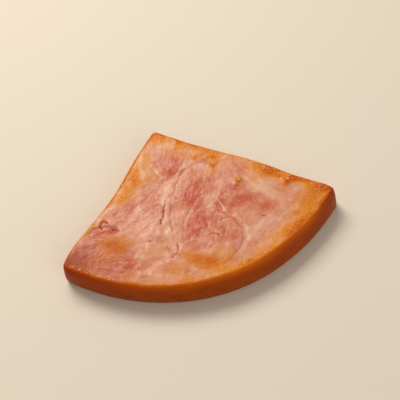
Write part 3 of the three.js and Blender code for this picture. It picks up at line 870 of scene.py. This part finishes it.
    @staticmethod
    def underside_marks(x, y):
        """The underside: browned along its edges and in patches, with wide seams of fat."""
        left, rind_away, right = insets(x, y)
        edge = np.minimum(np.minimum(left, right), rind_away)
        ragged = 1 + 0.5 * WANDER.layered(x + 80, y + 10, 6, 3)
        blotch = LUMPS.layered(x - 60, y + 35, 9, 3)
        long = LONG_GRAIN.at(x * 0.98, y)
        browned = 0.85 * (1 - smooth_step(edge, 0.5 * ragged, 8.0 * ragged))
        patch = smooth_step(LUMPS.layered(x + 33, y - 71, 16, 3), 0.05, 1.4)
        marbling = MARBLING.at(x * 0.98, y)
        sear = (1 - (1 - browned) * (1 - 0.85 * patch)) * (1 - 0.3 * smooth_step(marbling, 0.0, 1.6))
        sear = np.clip(sear + 0.1 * blotch, 0, 1)
        seam = np.exp(-(LUMPS.layered(x - 12, y + 64, 24, 3) / 0.10) ** 2)
        fat = np.clip(0.50 * seam + 0.30 * smooth_step(marbling, 0.3, 2.2) + 0.1 * long, 0, 1)
        rind = smooth_step(-rind_away, -1.8, 0.2)
        lean = np.clip(0.36 + 0.30 * LUMPS.layered(x + 5, y - 9, 18, 3) - 0.04 * marbling, 0, 1)
        flat = np.zeros(x.shape)
        return dict(lean=lean, fat=fat, sear=sear, crisp=flat + 0.7, tear=flat, crease=flat,
                    drop=flat + 0.2, rind=rind, smoke_and_shade=flat + 0.1, **fibre_marks(x, y))


def weld(skin):
    """One closed mesh from the sheets, with the vertices that meet made one."""
    places = np.concatenate(skin.places)
    keys = np.round(places / WELD).astype(np.int64)
    _, first, number = np.unique(keys, axis=0, return_index=True, return_inverse=True)
    welded = number.ravel()
    faces = [[int(welded[spot]) for spot in face] for face in skin.faces]
    return places[first], np.concatenate(skin.marks)[first], faces


class PlanFit:
    """Puts places given in millimetres where the node that the wedge stands for is, in metres."""

    def __init__(self, places):
        low, high = (np.array(corner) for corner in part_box("ham_steak"))
        self.low = low
        self.plan_low = places.min(0)[:2]
        self.scale = (high[:2] - low[:2]) / (places.max(0)[:2] - self.plan_low)

    def plan(self, spots):
        return self.low[:2] + (spots - self.plan_low) * self.scale

    def metres(self, places):
        return np.column_stack([self.plan(places[:, :2]), self.low[2] + places[:, 2] * MM])


def new_piece(name, places, faces, materials, marks):
    """A smooth-shaded mesh object with one number for each vertex under each mark's name."""
    mesh = bpy.data.meshes.new(name)
    mesh.from_pydata(places.tolist(), [], faces)
    mesh.polygons.foreach_set("use_smooth", np.ones(len(faces), bool))
    for mark, values in marks.items():
        layer = mesh.attributes.new(mark, "FLOAT", "POINT")
        layer.data.foreach_set("value", values.astype(np.float32))
    for material in materials:
        mesh.materials.append(material)
    piece = bpy.data.objects.new(name, mesh)
    bpy.context.scene.collection.objects.link(piece)
    return piece, mesh


def build_wedge(materials):
    wedge = Wedge()
    places, marks, faces = weld(wedge.skin)
    corners = [spot for face in wedge.skin.faces for spot in face]
    fit = PlanFit(places)
    marks = dict(zip(Skin.MARKS, marks.T))
    piece, mesh = new_piece("ham_wedge", fit.metres(places), faces, materials, marks)
    mesh.polygons.foreach_set("material_index", np.array(wedge.skin.kinds, np.int32))
    bake = mesh.uv_layers.new(name="OFBake")
    bake.data.foreach_set("uv", np.concatenate(wedge.skin.bakes)[corners].astype(np.float32).ravel())
    mesh.validate()
    mesh.update()
    return piece, fit


# ---- small loose things on the face -----------------------------------------------------

RIND_SIDES = (1.02, 1.98)   # side numbers along the rind and along the right cut
RIGHT_SIDES = (2.04, 2.97)
LUMP_RISE = 0.35            # how far a lump's middle is above the face, in its own half heights


def scattered(rng, middles, spread, count):
    """Spots around each of the middles, closest together at its centre."""
    return np.concatenate([np.array(middle) + rng.normal(0, spread, (count, 2)) for middle in middles])


def on_face(spots):
    """The spots that lie well inside the rim of the face."""
    return spots[np.minimum.reduce(insets(*spots.T)) > CUT_RIM]


def along(rng, sides, count, low, high):
    """Spots along a stretch of the outline, between two distances in from it."""
    side = rng.uniform(*sides, count)
    inset = rng.uniform(low, high, count)
    return outline(side) - outward(side) * inset[:, None]


def clumped(spots):
    """The spots left where small loose things gather, with bare stretches between."""
    x, y = spots.T
    return spots[LUMPS.layered(x + 17, y, 4.0, 2) > 0.0]


def unit_ball(detail):
    """Vertices and triangles of a round lump of radius 1."""
    form = bmesh.new()
    bmesh.ops.create_icosphere(form, subdivisions=detail, radius=1.0)
    ball = np.array([vertex.co for vertex in form.verts])
    faces = np.array([[vertex.index for vertex in face.verts] for face in form.faces])
    form.free()
    return ball, faces


def build_lumps(name, material, fit, spots, radii, flatness, roughness, rng):
    """One piece of many small uneven lumps, each sunk a little way into the face."""
    tints = rng.uniform(0, 1, len(spots))
    ball, ball_faces = unit_ball(detail=2)
    heights = THICKNESS + face_marks(spots[:, 0], spots[:, 1])["relief"]
    places, faces = [], []
    for number, (spot, height, radius) in enumerate(zip(spots, heights, radii)):
        turn = rng.uniform(0, 2 * math.pi)
        stretch = rng.uniform(0.75, 1.35)
        lump = ball * (1 + roughness * rng.normal(0, 1, (len(ball), 1)))
        wide, deep = lump[:, 0] * stretch, lump[:, 1] / stretch
        plan = np.stack([wide * math.cos(turn) - deep * math.sin(turn),
                         wide * math.sin(turn) + deep * math.cos(turn)], -1) * radius + spot
        level = height + radius * flatness * (lump[:, 2] + LUMP_RISE)
        places.append(fit.metres(np.column_stack([plan, level])))
        faces.append(ball_faces + number * len(ball))
    marks = dict(tint=np.repeat(tints, len(ball)))
    piece, mesh = new_piece(name, np.concatenate(places), np.concatenate(faces).tolist(), [material], marks)
    mesh.update()
    return piece


def build_fat_glint_beads(fit, material):
    """Beads of melted fat, pale enough to stand also as painted glints: along the rim of the rind, the
    golden bands and the crisp nubs.
    """
    rng = np.random.default_rng(71)
    spots = np.concatenate([
        clumped(along(rng, RIND_SIDES, 230, 1.6, 5.5)), clumped(along(rng, RIGHT_SIDES, 110, 1.6, 5.5)),
        scattered(rng, [(24.6, -43.4), (46.0, -48.9), (17.2, -28.6)], 0.5, 9),
        scattered(rng, [(-16, -20), (-22, -26), (14, -85), (-11, -85), (52, -62)], 3.0, 14),
        scattered(rng, [(0, -14), (16, -60), (-6, -25)], 3.5, 5)])
    spots = on_face(spots)
    radii = rng.uniform(0.10, 0.27, len(spots)) * rng.uniform(0.7, 1.1, len(spots))
    return build_lumps("fat_glint_beads", material, fit, spots, radii, 0.6, 0.0, rng)


def build_crisp_bits(fit, material):
    """Crumbs of crust on the nubs and along the browned edges."""
    rng = np.random.default_rng(83)
    spots = np.concatenate([
        scattered(rng, [(26.9, -42.4), (48.8, -50.0), (18.8, -28.2)], 0.75, 12),
        scattered(rng, [(14.6, -86.0), (42, -41), (21.5, -24.4), (60, -60)], 1.4, 8),
        along(rng, RIGHT_SIDES, 60, 1.5, 4.0), along(rng, RIND_SIDES, 60, 1.6, 4.0)])
    spots = on_face(spots)
    radii = rng.uniform(0.16, 0.46, len(spots))
    return build_lumps("crisp_bits", material, fit, spots, radii, 0.30, 0.06, rng)


# ---- shader helpers ----------------------------------------------------------------------


def tone(red, green, blue):
    """Linear colour of a paint chip given in 0 to 255."""
    def linear(level):
        share = level / 255
        return share / 12.92 if share <= 0.04045 else ((share + 0.055) / 1.055) ** 2.4
    return (linear(red), linear(green), linear(blue), 1.0)


class Nodes:
    """Short ways to add and join shader nodes in one tree."""

    def __init__(self, tree):
        self.tree = tree

    def add(self, kind, **settings):
        node = self.tree.nodes.new(kind)
        for name, value in settings.items():
            setattr(node, name, value)
        return node

    def feed(self, socket, value):
        if isinstance(value, bpy.types.NodeSocket):
            self.tree.links.new(value, socket)
        else:
            socket.default_value = value

    def mark(self, name):
        return self.add("ShaderNodeAttribute", attribute_name=name).outputs["Fac"]

    def math(self, kind, first, second, third=None, clamp=False):
        node = self.add("ShaderNodeMath", operation=kind, use_clamp=clamp)
        for socket, value in zip(node.inputs, (first, second, third)):
            if value is not None:
                self.feed(socket, value)
        return node.outputs[0]

    def blend(self, share, under, over, way="MIX"):
        node = self.add("ShaderNodeMix", data_type="RGBA", blend_type=way, clamp_factor=True)
        self.feed(node.inputs["Factor"], share)
        self.feed(node.inputs[6], under)
        self.feed(node.inputs[7], over)
        return node.outputs[2]

    def fit(self, value, low, high, to_low=0.0, to_high=1.0):
        node = self.add("ShaderNodeMapRange", interpolation_type="SMOOTHSTEP")
        for socket, setting in zip(node.inputs, (value, low, high, to_low, to_high)):
            self.feed(socket, setting)
        return node.outputs[0]

    def noise(self, scale, detail=2.0, rough=0.55, stretch=(1, 1, 1)):
        mapping = self.add("ShaderNodeMapping")
        mapping.inputs["Scale"].default_value = stretch
        return self.mapped_noise(mapping, scale, detail, rough)

    def threads(self, turn, scale, seed):
        """Noise drawn out in one direction of the plan."""
        mapping = self.add("ShaderNodeMapping", vector_type="TEXTURE")
        mapping.inputs["Rotation"].default_value = (0, 0, turn)
        mapping.inputs["Scale"].default_value = (6.0, 1.0, 2.0)
        mapping.inputs["Location"].default_value = (0.31 * seed, 0.17 * seed, 0)
        return self.mapped_noise(mapping, scale, 2.0, 0.6)

    def mapped_noise(self, mapping, scale, detail, rough):
        """Noise of the place on the piece, as a mapping node turns and stretches it."""
        place = self.add("ShaderNodeTexCoord").outputs["Object"]
        self.tree.links.new(place, mapping.inputs["Vector"])
        node = self.add("ShaderNodeTexNoise", noise_dimensions="3D")
        self.tree.links.new(mapping.outputs[0], node.inputs["Vector"])
        self.feed(node.inputs["Scale"], scale)
        node.inputs["Detail"].default_value = detail
        node.inputs["Roughness"].default_value = rough
        return node.outputs["Fac"]

    def bump(self, shader, height, strength, distance):
        node = self.add("ShaderNodeBump")
        node.inputs["Strength"].default_value = strength
        node.inputs["Distance"].default_value = distance
        self.feed(node.inputs["Height"], height)
        self.feed(shader.inputs["Normal"], node.outputs["Normal"])

    def ramp(self, share, stops):
        node = self.add("ShaderNodeValToRGB")
        elements = node.color_ramp.elements
        while len(elements) < len(stops):
            elements.new(0.5)
        for element, (place, colour) in zip(elements, stops):
            element.position = place
            element.color = colour
        self.feed(node.inputs["Fac"], share)
        return node.outputs["Color"]

    def group(self, group, **values):
        node = self.add("ShaderNodeGroup", node_tree=group)
        for name, value in values.items():
            self.feed(node.inputs[name.replace("_", " ")], value)
        return node.outputs


def new_material(name):
    material = bpy.data.materials.new(name)
    material.use_nodes = True
    return material, Nodes(material.node_tree), material.node_tree.nodes["Principled BSDF"]


def set_sockets(shader, settings):
    for name, value in settings.items():
        shader.inputs[name].default_value = value


def new_group(name, inputs, outputs):
    group = bpy.data.node_groups.new(name, "ShaderNodeTree")
    for label, kind in inputs:
        group.interface.new_socket(label, in_out="INPUT", socket_type="NodeSocket" + kind)
    for label, kind in outputs:
        group.interface.new_socket(label, in_out="OUTPUT", socket_type="NodeSocket" + kind)
    nodes = Nodes(group)
    return group, nodes, nodes.add("NodeGroupInput").outputs, nodes.add("NodeGroupOutput").inputs


# ---- shared effects ------------------------------------------------------------------------

STRAND_WAYS = 6             # directions that the strands are blended from


def strand_group():
    """Fine threads along the fibres, about 0 to 1 with a mean of a half."""
    group, n, given, out = new_group(
        "muscle strands", [("Fibre Cos", "Float"), ("Fibre Sin", "Float"), ("Thread", "Float")],
        [("Strand", "Float")])
    total = None
    for way in range(STRAND_WAYS):
        turn = math.pi * way / STRAND_WAYS
        facing = n.math("ADD", n.math("MULTIPLY", given["Fibre Cos"], math.cos(2 * turn)),
                        n.math("MULTIPLY", given["Fibre Sin"], math.sin(2 * turn)))
        share = n.math("POWER", n.math("MAXIMUM", facing, 0.0), 3.0)
        threads = n.math("SUBTRACT", n.threads(turn, given["Thread"], way), 0.5)
        part = n.math("MULTIPLY", threads, share)
        total = part if total is None else n.math("ADD", total, part)
    n.feed(out["Strand"], n.math("ADD", total, 0.5))
    return group


def meat_group():
    """Cooked cured meat: pink flesh, redder lean, creamy fat, fibres and dark tears."""
    group, n, given, out = new_group(
        "cooked meat",
        [("Lean", "Float"), ("Fat", "Float"), ("Tear", "Float"), ("Crease", "Float"), ("Strand", "Float")],
        [("Color", "Color"), ("Height", "Float")])
    thread = n.math("SUBTRACT", given["Strand"], 0.5)
    cloud = n.math("SUBTRACT", n.noise(260, 4.0, 0.7), 0.5)
    lean = n.math("ADD", given["Lean"], n.math("MULTIPLY", thread, -0.22))
    lean = n.math("ADD", lean, n.math("MULTIPLY", cloud, 0.55), clamp=True)
    flesh = n.ramp(lean, [(0.0, tone(216, 160, 130)), (0.25, tone(208, 141, 112)),
                          (0.5, tone(198, 112, 82)), (0.75, tone(191, 86, 54)), (1.0, tone(176, 62, 30))])
    blush = n.fit(n.noise(110, 3.0), 0.40, 0.70)
    plain = n.fit(lean, 0.85, 0.35)
    flesh = n.blend(n.math("MULTIPLY", n.math("MULTIPLY", blush, 0.32), plain), flesh, tone(220, 144, 92))
    dots = n.noise(1300, 3.0, 0.65)
    flesh = n.blend(n.math("MULTIPLY", n.fit(dots, 0.50, 0.66), 0.20), flesh, tone(242, 196, 168))
    flesh = n.blend(n.math("MULTIPLY", n.fit(dots, 0.48, 0.32), 0.10), flesh, tone(186, 92, 64))
    white = n.math("MULTIPLY", n.fit(given["Strand"], 0.58, 0.76), 0.34)
    fat = n.fit(n.math("ADD", given["Fat"], white), 0.02, 1.0)
    colour = n.blend(n.math("MULTIPLY", fat, 0.85), flesh, tone(230, 182, 154))
    crease = n.math("MULTIPLY", given["Crease"], 0.95)
    colour = n.blend(crease, colour, tone(170, 66, 38))
    colour = n.blend(n.fit(given["Tear"], 0.25, 0.9), colour, tone(170, 58, 34))
    n.feed(out["Color"], colour)
    grit = n.math("MULTIPLY", n.noise(700, 4.0, 0.65), 0.9)
    n.feed(out["Height"], n.math("ADD", grit, n.math("MULTIPLY", given["Strand"], 0.7)))
    return group


def browning_group():
    """Golden to brown crust that the grill leaves, uneven with amber specks, and with painted cream glints
    on its crisp parts.
    """
    group, n, given, out = new_group(
        "grill browning",
        [("Color", "Color"), ("Sear", "Float"), ("Crisp", "Float")],
        [("Color", "Color"), ("Crust", "Float"), ("Height", "Float")])
    mottle = n.noise(330, 4.0, 0.65)
    grains = n.noise(1250, 2.0, 0.6)
    coarse = n.math("MULTIPLY", given["Crisp"], n.math("SUBTRACT", grains, 0.5))
    uneven = n.math("ADD", n.math("MULTIPLY", n.math("SUBTRACT", mottle, 0.5), 0.75),
                    n.math("MULTIPLY", coarse, -0.65))
    heat = n.math("MULTIPLY", given["Sear"], n.math("ADD", uneven, 1.0))
    crisp = n.ramp(heat, [(0.08, tone(232, 178, 120)), (0.30, tone(230, 160, 80)),
                          (0.55, tone(224, 140, 34)), (0.80, tone(216, 120, 4)), (1.0, tone(200, 92, 0))])
    glaze = n.ramp(heat, [(0.08, tone(224, 164, 114)), (0.30, tone(222, 149, 80)),
                          (0.55, tone(214, 128, 40)), (0.80, tone(202, 106, 10)), (1.0, tone(184, 84, 0))])
    crust = n.blend(given["Crisp"], glaze, crisp)
    cover = n.fit(heat, 0.0, 0.80)
    colour = n.blend(n.math("MULTIPLY", cover, 0.95), given["Color"], crust)
    # Painted highlight: cream glints on the grains of the crisp crust.
    crusty = n.fit(n.math("MULTIPLY", given["Crisp"], given["Sear"]), 0.1, 0.5)
    glint = n.math("MULTIPLY", n.fit(grains, 0.56, 0.70), crusty)
    colour = n.blend(n.math("MULTIPLY", glint, 0.40), colour, tone(240, 184, 100))
    n.feed(out["Color"], colour)
    n.feed(out["Crust"], cover)
    blisters = n.math("ADD", mottle, n.math("MULTIPLY", grains, given["Crisp"]))
    n.feed(out["Height"], n.math("MULTIPLY", blisters, cover))
    return group


def rind_group():
    """Smoked rind: a bright amber rim that goes deep brown down the side."""
    group, n, given, out = new_group(
        "smoked rind",
        [("Color", "Color"), ("Rind", "Float"), ("Drop", "Float")],
        [("Color", "Color"), ("Height", "Float")])
    cloudy = n.noise(70, 3.0)
    drawn = n.noise(130, 4.0, 0.6, stretch=(1, 1, 1.7))
    pores = n.noise(750, 2.0, 0.6, stretch=(1, 1, 1.4))
    sway = n.math("MULTIPLY", n.math("SUBTRACT", cloudy, 0.5), n.fit(given["Drop"], 0.05, 0.4, 0.05, 0.5))
    depth = n.math("ADD", given["Drop"], sway)
    brown = n.ramp(depth, [(0.0, tone(206, 106, 8)), (0.06, tone(206, 100, 0)), (0.13, tone(200, 90, 0)),
                           (0.22, tone(178, 76, 2)), (0.38, tone(163, 70, 6)), (0.8, tone(168, 76, 12)),
                           (1.0, tone(172, 82, 16))])
    side = n.fit(given["Drop"], 0.10, 0.30)
    brown = n.blend(n.math("MULTIPLY", n.fit(drawn, 0.50, 0.72), 0.28), brown, tone(180, 84, 16))
    shade = n.math("MULTIPLY", n.fit(drawn, 0.47, 0.30), side)
    brown = n.blend(n.math("MULTIPLY", shade, 0.50), brown, tone(104, 34, 2))
    speck = n.math("MULTIPLY", n.fit(pores, 0.40, 0.28), side)
    brown = n.blend(n.math("MULTIPLY", speck, 0.45), brown, tone(96, 32, 4))
    n.feed(out["Color"], n.blend(given["Rind"], given["Color"], brown))
    n.feed(out["Height"], n.math("MULTIPLY", n.math("ADD", drawn, pores), given["Rind"]))
    return group


def moist_group():
    """Roughness of a wet surface: slick pools between drier stretches."""
    group, n, given, out = new_group(
        "moist film", [("Dry", "Float"), ("Slick", "Float"), ("Crust", "Float")], [("Roughness", "Float")])
    pools = n.fit(n.noise(260, 3.0), 0.38, 0.66)
    span = n.math("SUBTRACT", given["Dry"], given["Slick"])
    base = n.math("ADD", given["Slick"], n.math("MULTIPLY", span, pools))
    n.feed(out["Roughness"], n.math("SUBTRACT", base, n.math("MULTIPLY", given["Crust"], 0.06), clamp=True))
    return group


# ---- materials -----------------------------------------------------------------------------

SMOKE_AND_SHADE_TINT = (0.62, 0.34, 0.10, 1.0)       # what a full smoke stain leaves of each colour of light; painted shade darkens with the same tint
THREAD = 1300               # how fine the muscle strands are
HAM_SOCKETS = {"IOR": 1.42, "Coat Roughness": 0.18, "Subsurface Radius": (1.0, 0.4, 0.25),
               "Subsurface Scale": 0.0022}
SPECK_SOCKETS = {"Coat Roughness": 0.08, "Subsurface Scale": 0.0006}


def ham_material(name, groups, dry, slick, relief, gloss, shine, glow):
    """The ham's skin on one part of it: the same meat, crust and rind with that part's finish."""
    material, n, shader = new_material(name)
    smoke_and_shade = n.mark("smoke_and_shade")
    strands = n.group(groups["strands"], Fibre_Cos=n.mark("fibre_cos"), Fibre_Sin=n.mark("fibre_sin"),
                      Thread=THREAD)
    meat = n.group(groups["meat"], Lean=n.mark("lean"), Fat=n.mark("fat"), Tear=n.mark("tear"),
                   Crease=n.mark("crease"), Strand=strands["Strand"])
    crust = n.group(groups["browning"], Color=meat["Color"], Sear=n.mark("sear"), Crisp=n.mark("crisp"))
    rind = n.group(groups["rind"], Color=crust["Color"], Rind=n.mark("rind"), Drop=n.mark("drop"))
    film = n.group(groups["moist"], Dry=dry, Slick=slick, Crust=crust["Crust"])
    # Base colour, darkened by smoke stains and by the painted shade towards the corners.
    n.feed(shader.inputs["Base Color"], n.blend(smoke_and_shade, rind["Color"], SMOKE_AND_SHADE_TINT, "MULTIPLY"))
    n.feed(shader.inputs["Roughness"], film["Roughness"])
    wet = n.math("SUBTRACT", 1.0, n.math("MULTIPLY", crust["Crust"], 0.85))
    wet = n.math("MULTIPLY", wet, n.math("SUBTRACT", 1.0, n.math("MULTIPLY", smoke_and_shade, 0.95)))
    n.feed(shader.inputs["Coat Weight"], n.math("MULTIPLY", wet, gloss))
    height = n.math("ADD", meat["Height"], n.math("ADD", crust["Height"], rind["Height"]))
    n.bump(shader, height, relief, 0.0004)
    set_sockets(shader, {**HAM_SOCKETS, "Specular IOR Level": shine, "Subsurface Weight": glow})
    return material


def ham_materials():
    groups = dict(strands=strand_group(), meat=meat_group(), browning=browning_group(), rind=rind_group(),
                  moist=moist_group())
    finishes = {
        "grilled face": dict(dry=0.52, slick=0.34, relief=0.42, gloss=0.42, shine=0.12, glow=0.15),
        "cut meat": dict(dry=0.54, slick=0.36, relief=0.85, gloss=0.30, shine=0.16, glow=0.15),
        "smoked rind": dict(dry=0.52, slick=0.40, relief=0.25, gloss=0.0, shine=0.10, glow=0.0),
        "underside": dict(dry=0.58, slick=0.44, relief=0.50, gloss=0.24, shine=0.16, glow=0.15),
    }
    return [ham_material(name, groups, **finish) for name, finish in finishes.items()]


def speck_material(name, pale, deep, roughness, gloss, glow):
    """Finish of the small loose things: each one its own tint between two colours."""
    material, n, shader = new_material(name)
    cloudy = n.math("MULTIPLY", n.math("SUBTRACT", n.noise(2600, 2.0), 0.5), 0.8)
    share = n.math("ADD", n.mark("tint"), cloudy, clamp=True)
    n.feed(shader.inputs["Base Color"], n.blend(share, pale, deep))
    n.bump(shader, n.noise(3500, 2.0), 0.3, 0.0001)
    set_sockets(shader, {**SPECK_SOCKETS, "Roughness": roughness, "Coat Weight": gloss,
                         "Subsurface Weight": glow})
    return material


def melted_fat_glints():
    # Pale cream, so that the beads show also as painted glints.
    return speck_material("melted fat", tone(244, 206, 160), tone(234, 172, 100), 0.20, 0.5, 0.2)


def crisp_crust():
    return speck_material("crisp crust", tone(240, 168, 84), tone(216, 108, 24), 0.36, 0.20, 0.15)


# ---- stage ---------------------------------------------------------------------------------

VIEW_TURN = math.radians(-20.832)
VIEW_RISE = math.radians(53)
VIEW_DISTANCE = 567.2 * MM
VIEW_FOCAL = 109.35
LOOK_AT = np.array([[6.0, -46.6, 13.0]])    # what the camera looks at, in millimetres as the cut is
FLOOR_HALF = 3.0            # metres, as is the next
FLOOR_DROP = 0.0002         # keeps the floor just clear of the underside


def view_axes():
    """Unit vectors to the right of, and away from, the camera, level with the floor."""
    right = Vector((math.cos(VIEW_TURN), math.sin(VIEW_TURN), 0))
    away = Vector((-math.sin(VIEW_TURN), math.cos(VIEW_TURN), 0))
    return right, away


def add_camera(target):
    _, away = view_axes()
    data = bpy.data.cameras.new("camera")
    data.lens = VIEW_FOCAL
    data.sensor_width = 36
    data.clip_start = 0.01
    camera = bpy.data.objects.new("camera", data)
    towards = Vector((0, 0, 1)) * math.sin(VIEW_RISE) - away * math.cos(VIEW_RISE)
    camera.location = target + towards * VIEW_DISTANCE
    camera.rotation_euler = (target - camera.location).to_track_quat("-Z", "Y").to_euler()
    bpy.context.scene.collection.objects.link(camera)
    bpy.context.scene.camera = camera


def add_light(name, target, sideways, back, up, size, power, colour):
    """A soft square lamp, placed from the target by distances seen from the camera's side."""
    right, away = view_axes()
    data = bpy.data.lights.new(name, "AREA")
    data.size = size
    data.energy = power
    data.color = colour
    lamp = bpy.data.objects.new(name, data)
    lamp.location = target + right * sideways + away * back + Vector((0, 0, up))
    lamp.rotation_euler = (target - lamp.location).to_track_quat("-Z", "Y").to_euler()
    bpy.context.scene.collection.objects.link(lamp)


def add_floor():
    material, _, shader = new_material("pale floor")
    set_sockets(shader, {"Base Color": tone(226, 215, 198), "Roughness": 0.75})
    corners = [(FLOOR_HALF * x, FLOOR_HALF * y, 0) for x, y in ((-1, -1), (1, -1), (1, 1), (-1, 1))]
    mesh = bpy.data.meshes.new("floor")
    mesh.from_pydata(corners, [], [(0, 1, 2, 3)])
    mesh.materials.append(material)
    floor = bpy.data.objects.new("floor", mesh)
    floor.location.z = -FLOOR_DROP
    bpy.context.scene.collection.objects.link(floor)


def add_world():
    world = bpy.data.worlds.new("soft room")
    world.use_nodes = True
    background = world.node_tree.nodes["Background"]
    background.inputs["Color"].default_value = (1.0, 0.955, 0.90, 1)
    background.inputs["Strength"].default_value = 0.30
    bpy.context.scene.world = world


# ---- the whole scene -----------------------------------------------------------------------

piece, fit = build_wedge(ham_materials())
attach(piece, "root")
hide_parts("ham_steak")

for small in (build_fat_glint_beads(fit, melted_fat_glints()), build_crisp_bits(fit, crisp_crust())):
    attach(small, "root")

target = Vector(fit.metres(LOOK_AT)[0])
add_floor()
add_world()
add_light("window", target, -0.42, 0.50, 0.74, 0.45, 7.3, (1.0, 0.94, 0.85))
add_light("sheen", target, -0.12, 0.75, 0.85, 0.26, 1.3, (1.0, 0.96, 0.90))
add_light("fill", target, 0.5, -0.7, 0.6, 0.9, 3.0, (1.0, 0.95, 0.90))
add_camera(target)
bpy.context.scene.view_settings.view_transform = "Standard"
